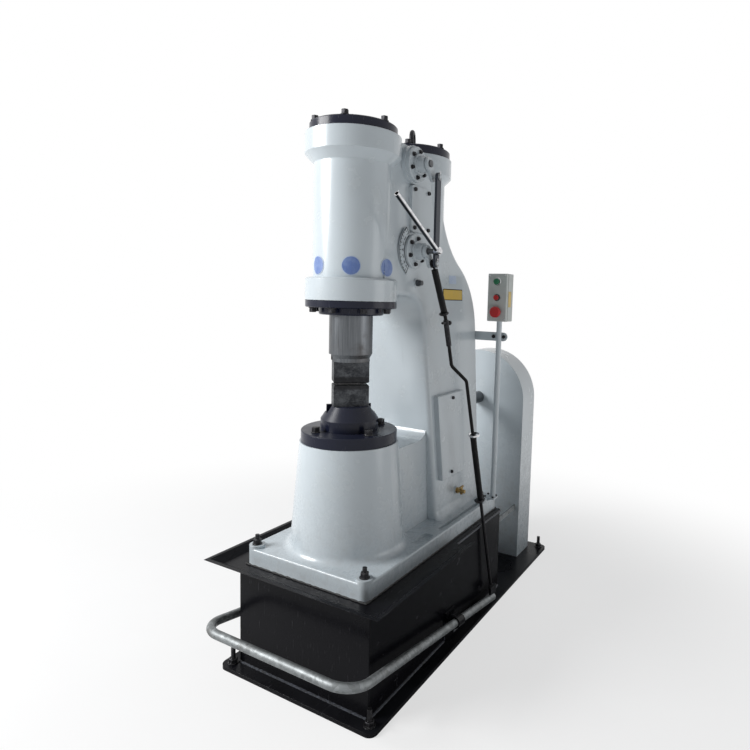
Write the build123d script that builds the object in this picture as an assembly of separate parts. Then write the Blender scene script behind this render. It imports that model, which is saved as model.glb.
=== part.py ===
from build123d import *
import math
import os

# Pneumatic forging hammer on a welded stand.
# Millimetres. X to the right, -Y to the front (ram end), +Z up.
# The origin is on the floor, straight below the axis of the ram.

# Clearances shared by pieces that meet
running_gap = 0.3
seat_gap = 0.2
pin_gap = 0.08
small_chamfer = 2.0
head_chamfer = 1.2

# Frame casting: plinth, anvil cone, neck and column
tray_thick = 8.0
stand_top = 328.0
tray_top = stand_top + tray_thick
plinth_width = 461.0
plinth_front = -213.0
plinth_height = 53.0
plinth_corner = 24.0
plinth_edge = 5.0
boss_r = 24.0
boss_rise = 8.0
rear_bolt_margin = 100.0
hold_nut = 22.0
hold_nut_height = 14.0
hold_washer_r = 15.0
hold_stud_r = 6.5
hold_stud_rise = 30.0
pocket_depth = 9.0
pocket_corner = 8.0
pocket_wall = 15.0
front_pocket_in = 182.0
front_pocket_y = 95.0
front_pocket_length = 90.0
rear_pocket_y = 240.0
rear_pocket_length = 300.0
plinth_top = tray_top + plinth_height
anvil_top = 723.0
anvil_top_r = 155.0
anvil_foot_r = 180.0
anvil_flare = 24.0
neck_half = 124.0
neck_root = 20.0
ledge_top = 688.0
ledge_curve = 42.0
column_top_half = 104.0
column_low_half = 158.0
column_flare = 36.0
column_round = 16.0
throat_top = 1182.0
throat_r = 105.0
throat_back = 238.0
column_front_low = 304.0
column_back = 641.0
column_back_lean = 17.0
column_back_low = column_back + column_back_lean
plinth_back_margin = 18.0
plinth_back = column_back_low + plinth_back_margin
belly_z = 1060.0
belly_r = 281.0
belly_turn = 58.3
neck_back_y = 372.0

# Cylinders of the casting
ram_r = 67.7
front_body_r = 119.0
collar_r = 142.0
collar_bottom = 1162.0
collar_top = 1230.0
collar_edge = 5.0
flange_bottom = 1597.0
flange_r = 146.0
cylinder_top = 1657.0
rear_y = 335.0
rear_body_r = 118.0
rear_flange_r = 140.0
rear_bottom = 1240.0
bore_top = 1605.0
cap_thick = 30.0
pad_root = 20.0
front_cap_r = 133.0
rear_cap_r = 133.0
eye_collar_r = 20.0
eye_collar_height = 10.0
eye_neck_r = 11.0
eye_ring_r = 27.0
eye_bar_r = 8.0
eye_sides = 16
cap_chamfer = 3.0
cap_bolts = 6
cap_bolt_ring = 119.0
cap_bolt_start = -5.0
cap_bolt_flat = 19.0
cap_bolt_height = 13.0
washer_r = 13.0
washer_thick = 2.5

# Gland under the working cylinder
gland_ring_r = 141.0
gland_ring_thick = 22.0
gland_r = 100.0
gland_thick = 22.0
gland_bolts = 8
gland_bolt_ring = 121.0
gland_bolt_start = 10.0
gland_chamfer = 3.0

# Anvil top: ring, die holder and dies
ring_r = 150.7
ring_thick = 35.0
ring_hole_r = 62.0
ring_bolts = 4
ring_bolt_ring = 117.0
ring_bolt_start = 67.0
ring_bolt_flat = 22.0
ring_bolt_height = 15.0
ring_washer_r = 14.0
holder_r = 90.7
holder_band = 34.0
holder_height = 75.0
holder_top_r = 63.0
die_turn = 45.0
die_wide = 110.0
die_deep = 66.0
die_height = 67.0
die_edge = 5.0
die_gap = 6.0
tail_width = 42.0
tail_flare = 4.0
tail_height = 22.0
tail_room = 1.0
key_width = 9.0
key_height = 21.0
lower_key_length = 142.0
upper_key_length = 116.0
ring_top = anvil_top + ring_thick
holder_top = ring_top + holder_height
work_height = holder_top + die_height
upper_die_low = work_height + die_gap
ram_low = upper_die_low + die_height
ram_shoulder = 23.0
ram_nose_r = 61.5
ram_length = 365.0
ram_top_edge = 4.0

# Valve gear on the right side
valve_y = 160.0
lower_valve_z = 1325.0
upper_valve_z = 1598.0
valve_boss_r = 60.0
valve_face = 122.0
valve_bore_depth = 40.0
valve_bore_gap = 2.0
cover_r = 55.0
cover_thick = 13.0
cover_bolts = 6
cover_bolt_ring = 42.0
cover_bolt_start = 20.0
cover_bolt_flat = 10.0
cover_bolt_height = 6.5
cover_washer_r = 7.0
hub_r = 26.0
hub_end = 166.0
hub_step = 8.0
hub_step_wall = 7.0
shaft_r = 11.0
shaft_inset = 30.0
shaft_past = 5.0
lever_reach = 45.0
lever_hang = 55.0
lever_in = 168.0
lever_thick = 10.0
lever_eye_r = 15.0
lever_wall = 9.0
lever_waist = 26.0
pin_r = 5.0
pin_past = 4.0
link_width = 26.0
link_thick = 8.0
rod_eye_in = 179.5
rod_eye_thick = 8.0
link_in = 189.5
open_pivot_gap = 3.6
rod_eye_wall = 5.0
handle_x = 213.0
shaft_tip_r = 8.0
handle_length = 278.0
handle_rise = 30.0
handle_r = 7.5
handle_wall = 1.6
handle_eye_r = 13.0
handle_eye_half = 8.5
handle_root = 10.0
handle_mouth = 60.0
sector_r = 86.0
sector_inner_r = 55.5
sector_half_angle = 62.0
sector_thick = 3.0
port_width = 118.0
port_gap = 3.0
port_low = lower_valve_z + valve_boss_r + port_gap
port_high = upper_valve_z - valve_boss_r - port_gap
port_corner = 10.0
port_front = 144.0
port_thick = 6.0
port_seat = 118.0

# Welded stand, base plate and drip tray
stand_width = 500.0
stand_front = -220.0
stand_back_inset = 6.0
stand_back = plinth_back - stand_back_inset
stand_edge = 3.0
tray_overhang = 43.0
tray_front_overhang = 33.5
lip_rise = 20.0
lip_reach = 32.5
lip_front_reach = 40.5
lip_thick = 5.0
lip_inner_share = 0.8
tray_back = 280.0
base_margin = 44.0
base_back_margin = 50.0
base_thick = 12.0
base_corner = 25.0
anchor_inset = 30.0
anchor_r = 7.0
anchor_rise = 48.0
anchor_nut = 24.0
anchor_nut_height = 13.0
anchor_washer_r = 17.0

# Treadle loop and its brackets
pipe_r = 13.45
pipe_wall = 2.65
treadle_gap = 35.0
treadle_half = stand_width / 2 + treadle_gap
treadle_reach = 120.0
treadle_front = stand_front - treadle_reach
treadle_slope = 0.16
treadle_level = 120.0
treadle_corner = 75.0
treadle_back = 545.0
treadle_pivot_y = 245.0
treadle_pin_r = 9.0
collar_half = 22.0
collar_wall = 5.0
boss_wall = 6.0
bracket_thick = 6.0
bracket_half = 30.0
bracket_side_gap = 2.0

# Rod from the treadle to the lower valve, bent round the foot of the column
rod_r = 6.0
sleeve_r = 11.0
lug_thick = 8.0
lug_length = 51.0
lug_edge = 14.0
lug_rise = 12.0
rod_inset = 13.0
rod_x_low = treadle_half - rod_inset
rod_pin_past = 7.0
rod_pin_rise = 34.32
rod_pin_y = treadle_back + rod_pin_past
rod_pin_z = treadle_level - treadle_slope * rod_pin_y + rod_pin_rise
rod_pin_length = 8.0
rod_low_eye_r = 12.0
rod_low_eye_half = 5.0
high_bend_y = 268.0
high_bend_z = 1112.0
high_bend_gap = 62.1
middle_bend_y = 306.0
middle_bend_z = 946.0
middle_bend_gap = 63.8
low_bend_y = 343.0
low_bend_z = 893.0
low_bend_gap = 102.5
high_bend_r = 30.0
low_bend_r = 24.0
upper_stem_r = 4.0
upper_stem_length = 13.0
upper_sleeve_start = 8.0
upper_sleeve_stop = 22.0
clamp_start = 8.0
clamp_length = 90.0
clamp_wall = 3.0
clamp_screw_at = 10.0
clamp_screw_r = 4.5
clamp_screw_half = 26.0
clamp_nut_r = 8.0
clamp_nut_height = 8.0
lower_sleeve_start = 205.0
lower_sleeve_length = 260.0

# Fittings on the right face of the column
pad_rise = 4.0
pad_r = 15.0
cock_y = 452.0
cock_z = 458.0
oil_y = 182.0
oil_z = 1225.0
side_cover_low = 530.0
side_cover_high = 835.0
side_cover_inset = 32.0
side_cover_back = 490.0
side_cover_thick = 18.0
side_cover_edge = 2.0
cock_length = 34.0
cock_r = 7.0
cock_collar_r = 11.0
cock_collar_length = 8.0
cock_plug_at = 20.0
cock_plug_r = 5.0
cock_plug_low = 12.0
cock_plug_high = 16.0
cock_handle_half = 14.0
cock_handle_wide = 6.0
cock_handle_thick = 5.0
cock_handle_sink = 2.0
oil_base_r = 11.0
oil_lid_r = 8.0
oil_step = 10.0

# Control box on its pole
pole_x = 232.0
pole_r = 10.5
pole_top = 1095.0
bar_z = 1034.0
bar_height = 34.0
bar_thick = 6.0
bar_reach = 262.0
box_width = 78.0
box_depth = 66.0
box_height = 182.0
box_edge = 3.0
button_hole_depth = 24.0
button_stem_depth = 16.0
button_proud = 8.0
top_button_drop = 30.0
low_button_rise = 36.0
start_stem_r = 9.0
start_cap_r = 11.5
stop_stem_r = 8.0
stop_cap_r = 10.0
flat_cap_long = 6.0
emergency_stem_r = 9.0
emergency_cap_r = 21.0
emergency_cap_long = 14.0
foot_plate_thick = 6.0
foot_plate_half = 24.0
foot_plate_in = 33.0
foot_plate_out = 4.0
foot_plate_corner = 6.0
bar_start = 60.0

# Belt guard and drive at the back
guard_half = 219.0
guard_front = 964.0
guard_depth = 143.0
guard_back = guard_front + guard_depth
guard_centre_z = 728.0
strap_right = 202.0
strap_thick = 6.0
strap_low = 232.0
strap_height = 22.0
bearing_r = 92.0
bearing_stand_off = 6.0
bearing_seat = column_back_low + bearing_stand_off
bearing_length = 96.0
bearing_flange = 20.0
bearing_neck_wall = 26.0
bearing_pad = 10.0
bearing_root = 60.0
drive_shaft_r = 27.0
drive_shaft_start = 5.0
base_width = stand_width + 2 * base_margin
base_front = stand_front - base_margin
base_back = guard_back + base_back_margin


def box_between(low, high):
    """Plain block from its low corner to its high corner."""
    size = [b - a for a, b in zip(low, high)]
    middle = [(a + b) / 2 for a, b in zip(low, high)]
    return Pos(*middle) * Box(*size)


def rod_between(start, end, radius):
    """Round bar with flat ends between two points."""
    a = Vector(*start)
    b = Vector(*end)
    plane = Plane(origin=a, z_dir=b - a)
    return extrude(plane * Circle(radius), (b - a).length)


def disc(x, y, low, high, radius):
    """Upright disc about a vertical axis."""
    return Pos(x, y, low) * extrude(Circle(radius), high - low)


def side_disc(x_low, x_high, y, z, radius):
    """Disc whose axis runs left to right."""
    return rod_between((x_low, y, z), (x_high, y, z), radius)


def hex_head(place, flat=cap_bolt_flat, height=cap_bolt_height, washer=washer_r):
    """Hexagon bolt head on its washer, standing on the XY plane of a location."""
    head = Pos(0, 0, washer_thick) * extrude(RegularPolygon(flat / math.sqrt(3), 6), height)
    head = chamfer(head.faces().sort_by(Axis.Z)[-1].edges(), head_chamfer)
    return place * (head + extrude(Circle(washer), washer_thick))


def ring_places(x, y, z, radius, count, start, flip=False):
    """Places on a bolt circle, facing up, or down when flipped."""
    places = []
    for i in range(count):
        angle = math.radians(start + 360.0 * i / count)
        where = Pos(x + radius * math.cos(angle), y + radius * math.sin(angle), z)
        places.append(where * Rot(180, 0, 0) if flip else where)
    return places


def side_place(x, y, z, facing=1):
    """Place on a side face, with its own Z pointing right, or left for -1."""
    return Pos(x, y, z) * Rot(0, 90 * facing, 0)


def loose(pieces):
    """Several separate solids of one sub-part."""
    return Compound(children=[p.solid() for p in pieces])


def rounded_slab(half_x, low_y, high_y, low_z, high_z, radius):
    """Horizontal slab with rounded corners in plan."""
    slab = box_between((-half_x, low_y, low_z), (half_x, high_y, high_z))
    return fillet(slab.edges().filter_by(Axis.Z), radius)


def anchor_points():
    """Corners of the base plate where the anchor studs stand."""
    x = base_width / 2 - anchor_inset
    return [(sx * x, y) for sx in (-1, 1) for y in (base_front + anchor_inset, base_back - anchor_inset)]


def base_plate():
    plate = rounded_slab(base_width / 2, base_front, base_back, 0, base_thick, base_corner)
    for x, y in anchor_points():
        plate -= disc(x, y, 0, base_thick, anchor_r + running_gap)
    return plate


def anchor_bolts():
    """Stud, washer and nut at each corner, flush with the underside of the plate."""
    studs = []
    for x, y in anchor_points():
        stud = disc(x, y, 0, base_thick + anchor_rise, anchor_r)
        nut = hex_head(Pos(x, y, base_thick), anchor_nut, anchor_nut_height, anchor_washer_r)
        studs.append(stud + nut)
    return loose(studs)


def stand_box():
    body = box_between((-stand_width / 2, stand_front, base_thick), (stand_width / 2, stand_back, stand_top))
    return fillet(body.edges().filter_by(Axis.Z), stand_edge)


def tray_outline(z, half_x, front, back):
    return Pos(0, (front + back) / 2, z) * Rectangle(2 * half_x, back - front)


def drip_tray():
    """Sheet under the plinth with a lip that leans out on the front and both sides."""
    foot_half = stand_width / 2 + tray_overhang
    foot_front = stand_front - tray_front_overhang
    slope_x = lip_reach / lip_rise
    slope_y = lip_front_reach / lip_rise
    full = tray_thick + lip_rise
    outer = loft([
        tray_outline(stand_top, foot_half, foot_front, tray_back),
        tray_outline(stand_top + full, foot_half + lip_reach, foot_front - lip_front_reach, tray_back),
    ])
    inner = loft([
        tray_outline(tray_top, foot_half - lip_thick, foot_front + lip_thick, tray_back + 1),
        tray_outline(tray_top + 2 * lip_rise, foot_half - lip_thick + 2 * lip_rise * slope_x * lip_inner_share,
                     foot_front + lip_thick - 2 * lip_rise * slope_y * lip_inner_share, tray_back + 1),
    ])
    floor = box_between((-stand_width / 2, tray_back, stand_top), (stand_width / 2, stand_back, tray_top))
    return (outer - inner) + floor


def column_half(z):
    """Half width of the tapered column at a height."""
    share = (cylinder_top - z) / (cylinder_top - plinth_top - column_flare)
    return column_top_half + share * (column_low_half - column_top_half)


def column_back_y(z):
    """Y of the column's back face below its belly."""
    share = (belly_z - z) / (belly_z - tray_top)
    return column_back + share * (column_back_low - column_back)


def column_side_outline():
    """Outline of the column in the YZ plane: throat in front, swan back behind."""
    turn = math.radians(belly_turn)
    belly_y = column_back - belly_r
    bend_y = belly_y + belly_r * math.cos(turn)
    bend_z = belly_z + belly_r * math.sin(turn)
    neck_r = (bend_y - neck_back_y) / (1 - math.cos(turn))
    neck_z = bend_z + neck_r * math.sin(turn)
    half = turn / 2
    belly_mid = (belly_y + belly_r * math.cos(half), belly_z + belly_r * math.sin(half))
    neck_mid = (neck_back_y + neck_r * (1 - math.cos(half)), neck_z - neck_r * math.sin(half))
    arch_mid = throat_r * math.sqrt(0.5)
    with BuildLine() as line:
        Line((0, throat_top), (throat_back - throat_r, throat_top))
        ThreePointArc(
            (throat_back - throat_r, throat_top),
            (throat_back - throat_r + arch_mid, throat_top - throat_r + arch_mid),
            (throat_back, throat_top - throat_r),
        )
        Line((throat_back, throat_top - throat_r), (column_front_low, tray_top))
        Line((column_front_low, tray_top), (column_back_low, tray_top))
        Line((column_back_low, tray_top), (column_back, belly_z))
        ThreePointArc((column_back, belly_z), belly_mid, (bend_y, bend_z))
        ThreePointArc((bend_y, bend_z), neck_mid, (neck_back_y, neck_z))
        Line((neck_back_y, neck_z), (neck_back_y, cylinder_top))
        Line((neck_back_y, cylinder_top), (0, cylinder_top))
        Line((0, cylinder_top), (0, throat_top))
    return make_face(line.line)


def column_front_outline():
    """Outline of the column in the XZ plane: tapered sides that flare into the plinth."""
    low_half = column_low_half
    flare_mid = column_flare * (1 - math.sqrt(0.5))
    with BuildLine() as line:
        Line((-column_top_half, cylinder_top), (column_top_half, cylinder_top))
        Line((column_top_half, cylinder_top), (low_half, plinth_top + column_flare))
        ThreePointArc(
            (low_half, plinth_top + column_flare),
            (low_half + flare_mid, plinth_top + flare_mid),
            (low_half + column_flare, plinth_top),
        )
        Line((low_half + column_flare, plinth_top), (low_half + column_flare, tray_top))
        Line((low_half + column_flare, tray_top), (-low_half - column_flare, tray_top))
        Line((-low_half - column_flare, tray_top), (-low_half - column_flare, plinth_top))
        ThreePointArc(
            (-low_half - column_flare, plinth_top),
            (-low_half - flare_mid, plinth_top + flare_mid),
            (-low_half, plinth_top + column_flare),
        )
        Line((-low_half, plinth_top + column_flare), (-column_top_half, cylinder_top))
    return make_face(line.line)


def column():
    side = extrude(Plane.YZ * column_side_outline(), plinth_width, both=True)
    front = extrude(Plane.XZ * column_front_outline(), 2 * column_back_low, both=True)
    body = side & front
    tall = [e for e in body.edges() if e.center().Z > plinth_top + column_flare
            and e.center().Z < cylinder_top - 1
            and abs(e.center().X) > column_top_half / 2 and e.center().Y > 1]
    return fillet(tall, column_round)


def anvil_cone():
    """Cone of the anvil with a hollow flare into the plinth."""
    foot = plinth_top + anvil_flare
    mid = anvil_flare * (1 - math.sqrt(0.5))
    with BuildLine() as line:
        Line((0, tray_top), (anvil_foot_r + anvil_flare, tray_top))
        Line((anvil_foot_r + anvil_flare, tray_top), (anvil_foot_r + anvil_flare, plinth_top))
        ThreePointArc(
            (anvil_foot_r + anvil_flare, plinth_top),
            (anvil_foot_r + mid, plinth_top + mid),
            (anvil_foot_r, foot),
        )
        Line((anvil_foot_r, foot), (anvil_top_r, anvil_top))
        Line((anvil_top_r, anvil_top), (0, anvil_top))
        Line((0, anvil_top), (0, tray_top))
    return revolve(Plane.XZ * make_face(line.line), Axis.Z)


def anvil_neck():
    """Web that ties the cone to the column, with a curved ledge on top."""
    start = column_front_y(ledge_top) - ledge_curve
    mid = ledge_curve * math.sqrt(0.5)
    root_y = column_front_low + neck_root
    with BuildLine() as line:
        Line((0, tray_top), (0, ledge_top))
        Line((0, ledge_top), (start, ledge_top))
        ThreePointArc(
            (start, ledge_top),
            (start + mid, ledge_top + ledge_curve - mid),
            (start + ledge_curve, ledge_top + ledge_curve),
        )
        Line((start + ledge_curve, ledge_top + ledge_curve), (root_y, ledge_top + ledge_curve))
        Line((root_y, ledge_top + ledge_curve), (root_y, tray_top))
        Line((root_y, tray_top), (0, tray_top))
    return extrude(Plane.YZ * make_face(line.line), neck_half, both=True)


def barrel(y, low, body_r, high_r, step, top):
    """Cylinder body with a thick flange at its head, from a turned outline."""
    ease = high_r - body_r
    with BuildLine() as line:
        Polyline(
            (0, low), (body_r, low), (body_r, step - ease), (high_r, step), (high_r, top), (0, top), (0, low)
        )
    return Pos(0, y, 0) * revolve(Plane.XZ * make_face(line.line), Axis.Z)


def plinth_pockets():
    """Low and high corners of the shallow pockets in the top of the plinth."""
    high_x = plinth_width / 2 - pocket_wall
    low_z = plinth_top - pocket_depth
    pockets = []
    for side in (-1, 1):
        for low_x, y, length in (
            (front_pocket_in, front_pocket_y, front_pocket_length),
            (column_low_half + column_flare + plinth_edge, rear_pocket_y, rear_pocket_length),
        ):
            xs = sorted((side * low_x, side * high_x))
            pockets.append(((xs[0], y, low_z), (xs[1], y + length, plinth_top)))
    return pockets


def hold_down_places():
    """Centres of the hold-down bolts and of the bosses that they stand on."""
    x = plinth_width / 2 - boss_r
    return [(side * x, y) for side in (-1, 1) for y in (plinth_front + boss_r, plinth_back - rear_bolt_margin)]


def frame_casting():
    """One iron casting: plinth, anvil, column and both cylinders."""
    plinth = rounded_slab(plinth_width / 2, plinth_front, plinth_back, tray_top, plinth_top, plinth_corner)
    plinth = fillet(plinth.faces().sort_by(Axis.Z)[-1].edges(), plinth_edge)
    for low, high in plinth_pockets():
        pocket = box_between(low, high)
        plinth -= fillet(pocket.edges().filter_by(Axis.Z), pocket_corner)
    for x, y in hold_down_places():
        plinth += disc(x, y, tray_top, plinth_top + boss_rise, boss_r)
    body = plinth + column() + anvil_neck() + anvil_cone()
    body += barrel(0, throat_top, front_body_r, flange_r, flange_bottom, cylinder_top)
    collar = disc(0, 0, collar_bottom, collar_top, collar_r)
    body += chamfer(collar.faces().sort_by(Axis.Z)[-1].edges(), collar_edge)
    body += barrel(rear_y, rear_bottom, rear_body_r, rear_flange_r, flange_bottom, cylinder_top)
    for z in (lower_valve_z, upper_valve_z):
        body += side_disc(-valve_face, valve_face, valve_y, z, valve_boss_r)
        body -= side_disc(valve_face - valve_bore_depth, valve_face, valve_y, z, shaft_r + valve_bore_gap)
    body += port_block(column_top_half / 2, port_seat)
    for y, z, r in side_pads():
        body += side_disc(column_top_half - pad_root, column_half(z) + pad_rise, y, z, r)
    root = (0, column_back - bearing_root, guard_centre_z)
    body += rod_between(root, (0, bearing_seat, guard_centre_z), bearing_r + bearing_pad)
    body -= disc(0, 0, collar_bottom, bore_top, ram_r + running_gap)
    return body


def side_pads():
    """Y, height and radius of the cast pads under the drain cock and the oil cup."""
    return [(cock_y, cock_z, pad_r), (oil_y, oil_z, pad_r)]


def anvil_ring():
    ring = disc(0, 0, anvil_top, ring_top, ring_r)
    ring = chamfer(ring.faces().sort_by(Axis.Z)[-1].edges(), small_chamfer)
    return ring - disc(0, 0, anvil_top, ring_top, ring_hole_r)


def ring_bolt_heads():
    places = ring_places(0, 0, ring_top, ring_bolt_ring, ring_bolts, ring_bolt_start)
    return loose([hex_head(p, ring_bolt_flat, ring_bolt_height, ring_washer_r) for p in places])


def tail_outline(left, right, high, low):
    """Section with dovetailed sides, between two depths under the seat of a die."""
    lean = tail_flare / tail_height
    return make_face(Polyline(
        (left - lean * high, -high), (right + lean * high, -high), (right + lean * low, -low),
        (left - lean * low, -low), (left - lean * high, -high)
    ))


def tail_bar(z, up, length, section):
    """Bar of a section along the width of the dies, hanging from z or rising from it."""
    plane = Plane(origin=(0, 0, z), x_dir=(0, 1, 0), z_dir=(1, 0, 0))
    if up:
        section = mirror(section, Plane.XZ)
    return Rot(0, 0, die_turn) * extrude(plane * section, length / 2, both=True)


def tail_slot(z, up, length):
    """Space for the dovetail and its wedge."""
    section = tail_outline(-tail_width / 2, tail_width / 2 + key_width, 0, tail_height + tail_room)
    return tail_bar(z, up, length, section)


def die_holder():
    """Turned sow block with a dovetail slot across its top."""
    with BuildLine() as line:
        Polyline(
            (0, anvil_top), (ring_hole_r - running_gap, anvil_top), (ring_hole_r - running_gap, ring_top),
            (holder_r, ring_top), (holder_r, ring_top + holder_band), (holder_top_r, holder_top),
            (0, holder_top), (0, anvil_top)
        )
    body = revolve(Plane.XZ * make_face(line.line), Axis.Z)
    return body - tail_slot(holder_top, False, 3 * holder_r)


def die(low, tail_up):
    """Flat die with eased edges and its dovetail."""
    block = box_between((-die_wide / 2, -die_deep / 2, low), (die_wide / 2, die_deep / 2, low + die_height))
    working = block.faces().sort_by(Axis.Z)[0 if tail_up else -1]
    block = fillet(working.edges(), die_edge)
    block = Rot(0, 0, die_turn) * block
    face_z = low + die_height if tail_up else low
    half = tail_width / 2 - seat_gap
    return block + tail_bar(face_z, tail_up, die_wide, tail_outline(-half, half, 0, tail_height))


def lower_die():
    return die(holder_top, False)


def upper_die():
    return die(upper_die_low, True)


def die_key(z, up, length):
    """Wedge between the dovetail and the side of its slot."""
    lean = tail_flare / tail_height
    low = tail_width / 2
    high = low + key_width - seat_gap
    section = make_face(Polyline(
        (low + lean, -1), (high + lean, -1), (high + lean * (key_height + 1), -key_height - 1),
        (low + lean * (key_height + 1), -key_height - 1), (low + lean, -1)
    ))
    return tail_bar(z, up, length, section)


def lower_die_key():
    return die_key(holder_top, False, lower_key_length)


def upper_die_key():
    return die_key(ram_low, True, upper_key_length)


def ram():
    """Machined ram with a stepped nose and a dovetail slot in its foot."""
    ram_high = ram_low + ram_length
    with BuildLine() as line:
        Polyline(
            (0, ram_low), (ram_nose_r, ram_low), (ram_nose_r, ram_low + ram_shoulder / 2),
            (ram_r, ram_low + ram_shoulder), (ram_r, ram_high - ram_top_edge), (ram_r - ram_top_edge, ram_high),
            (0, ram_high), (0, ram_low)
        )
    body = revolve(Plane.XZ * make_face(line.line), Axis.Z)
    return body - tail_slot(ram_low, True, 3 * ram_r)


def gland_ring():
    low = collar_bottom - gland_ring_thick
    ring = disc(0, 0, low, collar_bottom, gland_ring_r)
    ring = chamfer(ring.faces().sort_by(Axis.Z)[0].edges(), small_chamfer)
    return ring - disc(0, 0, low, collar_bottom, ram_r + running_gap)


def gland():
    high = collar_bottom - gland_ring_thick
    low = high - gland_thick
    ring = disc(0, 0, low, high, gland_r)
    ring = chamfer(ring.faces().sort_by(Axis.Z)[0].edges(), gland_chamfer)
    return ring - disc(0, 0, low, high, ram_r + running_gap)


def gland_bolt_heads():
    seat = collar_bottom - gland_ring_thick
    places = ring_places(0, 0, seat, gland_bolt_ring, gland_bolts, gland_bolt_start, True)
    return loose([hex_head(p) for p in places])


def cylinder_cap(y, radius):
    cap = disc(0, y, cylinder_top, cylinder_top + cap_thick, radius)
    return chamfer(cap.faces().sort_by(Axis.Z)[-1].edges(), cap_chamfer)


def front_cylinder_cap():
    return cylinder_cap(0, front_cap_r)


def rear_cylinder_cap():
    return cylinder_cap(rear_y, rear_cap_r)


def cap_heads(y):
    places = ring_places(0, y, cylinder_top + cap_thick, cap_bolt_ring, cap_bolts, cap_bolt_start)
    return loose([hex_head(p) for p in places])


def front_cap_bolts():
    return cap_heads(0)


def rear_cap_bolts():
    return cap_heads(rear_y)


def lifting_eyebolt():
    """Eyebolt in the middle of the rear cap, its ring facing sideways."""
    seat = cylinder_top + cap_thick
    top = seat + eye_collar_height
    centre = top + eye_ring_r + eye_bar_r - 2
    collar = disc(0, rear_y, seat, top, eye_collar_r)
    neck = disc(0, rear_y, top, centre - eye_ring_r + 2, eye_neck_r)
    section = Plane.XZ * Pos(eye_ring_r, 0) * RegularPolygon(eye_bar_r, eye_sides)
    ring = Pos(0, rear_y, centre) * Rot(0, 90, 0) * revolve(section, Axis.Z)
    return collar + neck + ring


def valve_cover(z):
    """Round cover with a long hub that carries the valve shaft."""
    face = valve_face + cover_thick
    cover = side_disc(valve_face, face, valve_y, z, cover_r)
    cover = chamfer(cover.faces().sort_by(Axis.X)[-1].edges(), small_chamfer)
    cover += side_disc(face, face + hub_step, valve_y, z, hub_r + hub_step_wall)
    cover += side_disc(face, hub_end, valve_y, z, hub_r)
    return cover - side_disc(valve_face, hub_end, valve_y, z, shaft_r + pin_gap)


def upper_valve_cover():
    return valve_cover(upper_valve_z)


def lower_valve_cover():
    return valve_cover(lower_valve_z)


def cover_places(z, count=cover_bolts, start=cover_bolt_start):
    """Bolt circle on a cover's face."""
    places = []
    for i in range(count):
        angle = math.radians(start + 360.0 * i / count)
        places.append(side_place(
            valve_face + cover_thick,
            valve_y + cover_bolt_ring * math.cos(angle),
            z + cover_bolt_ring * math.sin(angle),
        ))
    return places


def valve_cover_bolts():
    places = cover_places(upper_valve_z) + cover_places(lower_valve_z)
    return loose([hex_head(p, cover_bolt_flat, cover_bolt_height, cover_washer_r) for p in places])


def left_valve_covers():
    """Blank covers that close the valve bores on the far side."""
    covers = []
    for z in (lower_valve_z, upper_valve_z):
        cover = side_disc(-valve_face - cover_thick, -valve_face, valve_y, z, cover_r)
        covers.append(chamfer(cover.faces().sort_by(Axis.X)[0].edges(), small_chamfer))
    return loose(covers)


def port_block(low_x, high_x):
    """Block with the outline of the air port's cover."""
    block = box_between((low_x, port_front, port_low), (high_x, port_front + port_width, port_high))
    return fillet(block.edges().filter_by(Axis.X), port_corner)


def port_cover():
    """Flat plate over the air port between the two valves."""
    return port_block(port_seat, port_seat + port_thick)


def lever_end(z):
    """Centre of a lever's outer eye, hanging back from its shaft."""
    hang = math.radians(lever_hang)
    return valve_y + lever_reach * math.cos(hang), z - lever_reach * math.sin(hang)


def lever_blade(z):
    """Tapered lever between the shaft eye and the pin eye."""
    end_y, end_z = lever_end(z)
    low = lever_in
    blade = side_disc(low, low + lever_thick, valve_y, z, shaft_r + lever_wall)
    blade += side_disc(low, low + lever_thick, end_y, end_z, lever_eye_r)
    hang = math.radians(-lever_hang)
    middle = Pos(low, (valve_y + end_y) / 2, (z + end_z) / 2) * Rot(math.degrees(hang), 0, 0)
    blade += middle * Pos(lever_thick / 2, 0, 0) * Box(lever_thick, lever_reach, lever_waist)
    return blade - side_disc(low, low + lever_thick, valve_y, z, shaft_r)


def upper_valve_shaft():
    end = lever_in + lever_thick + shaft_past
    return side_disc(valve_face - shaft_inset, end, valve_y, upper_valve_z, shaft_r)


def lower_valve_shaft():
    """Stepped shaft: its thin end passes in front of the link bar to the hand lever."""
    shoulder = lever_in + lever_thick
    shaft = side_disc(valve_face - shaft_inset, shoulder, valve_y, lower_valve_z, shaft_r)
    return shaft + side_disc(shoulder, handle_x - handle_eye_half, valve_y, lower_valve_z, shaft_tip_r)


def valve_lever(z):
    """Lever with a pin that reaches through the link bar."""
    end_y, end_z = lever_end(z)
    return lever_blade(z) + side_disc(lever_in, link_in + link_thick + pin_past, end_y, end_z, pin_r)


def upper_valve_lever():
    return valve_lever(upper_valve_z)


def lower_valve_lever():
    return valve_lever(lower_valve_z)


def link_bar():
    """Flat bar that turns both valves together."""
    low_y, low_z = lever_end(lower_valve_z)
    high_z = lever_end(upper_valve_z)[1]
    high = link_in + link_thick
    bar = box_between((link_in, low_y - link_width / 2, low_z), (high, low_y + link_width / 2, high_z))
    for z in (low_z, high_z):
        bar += side_disc(link_in, high, low_y, z, link_width / 2)
    for z in (low_z, high_z):
        bar -= side_disc(link_in, high, low_y, z, pin_r + pin_gap)
    return bar


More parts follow.
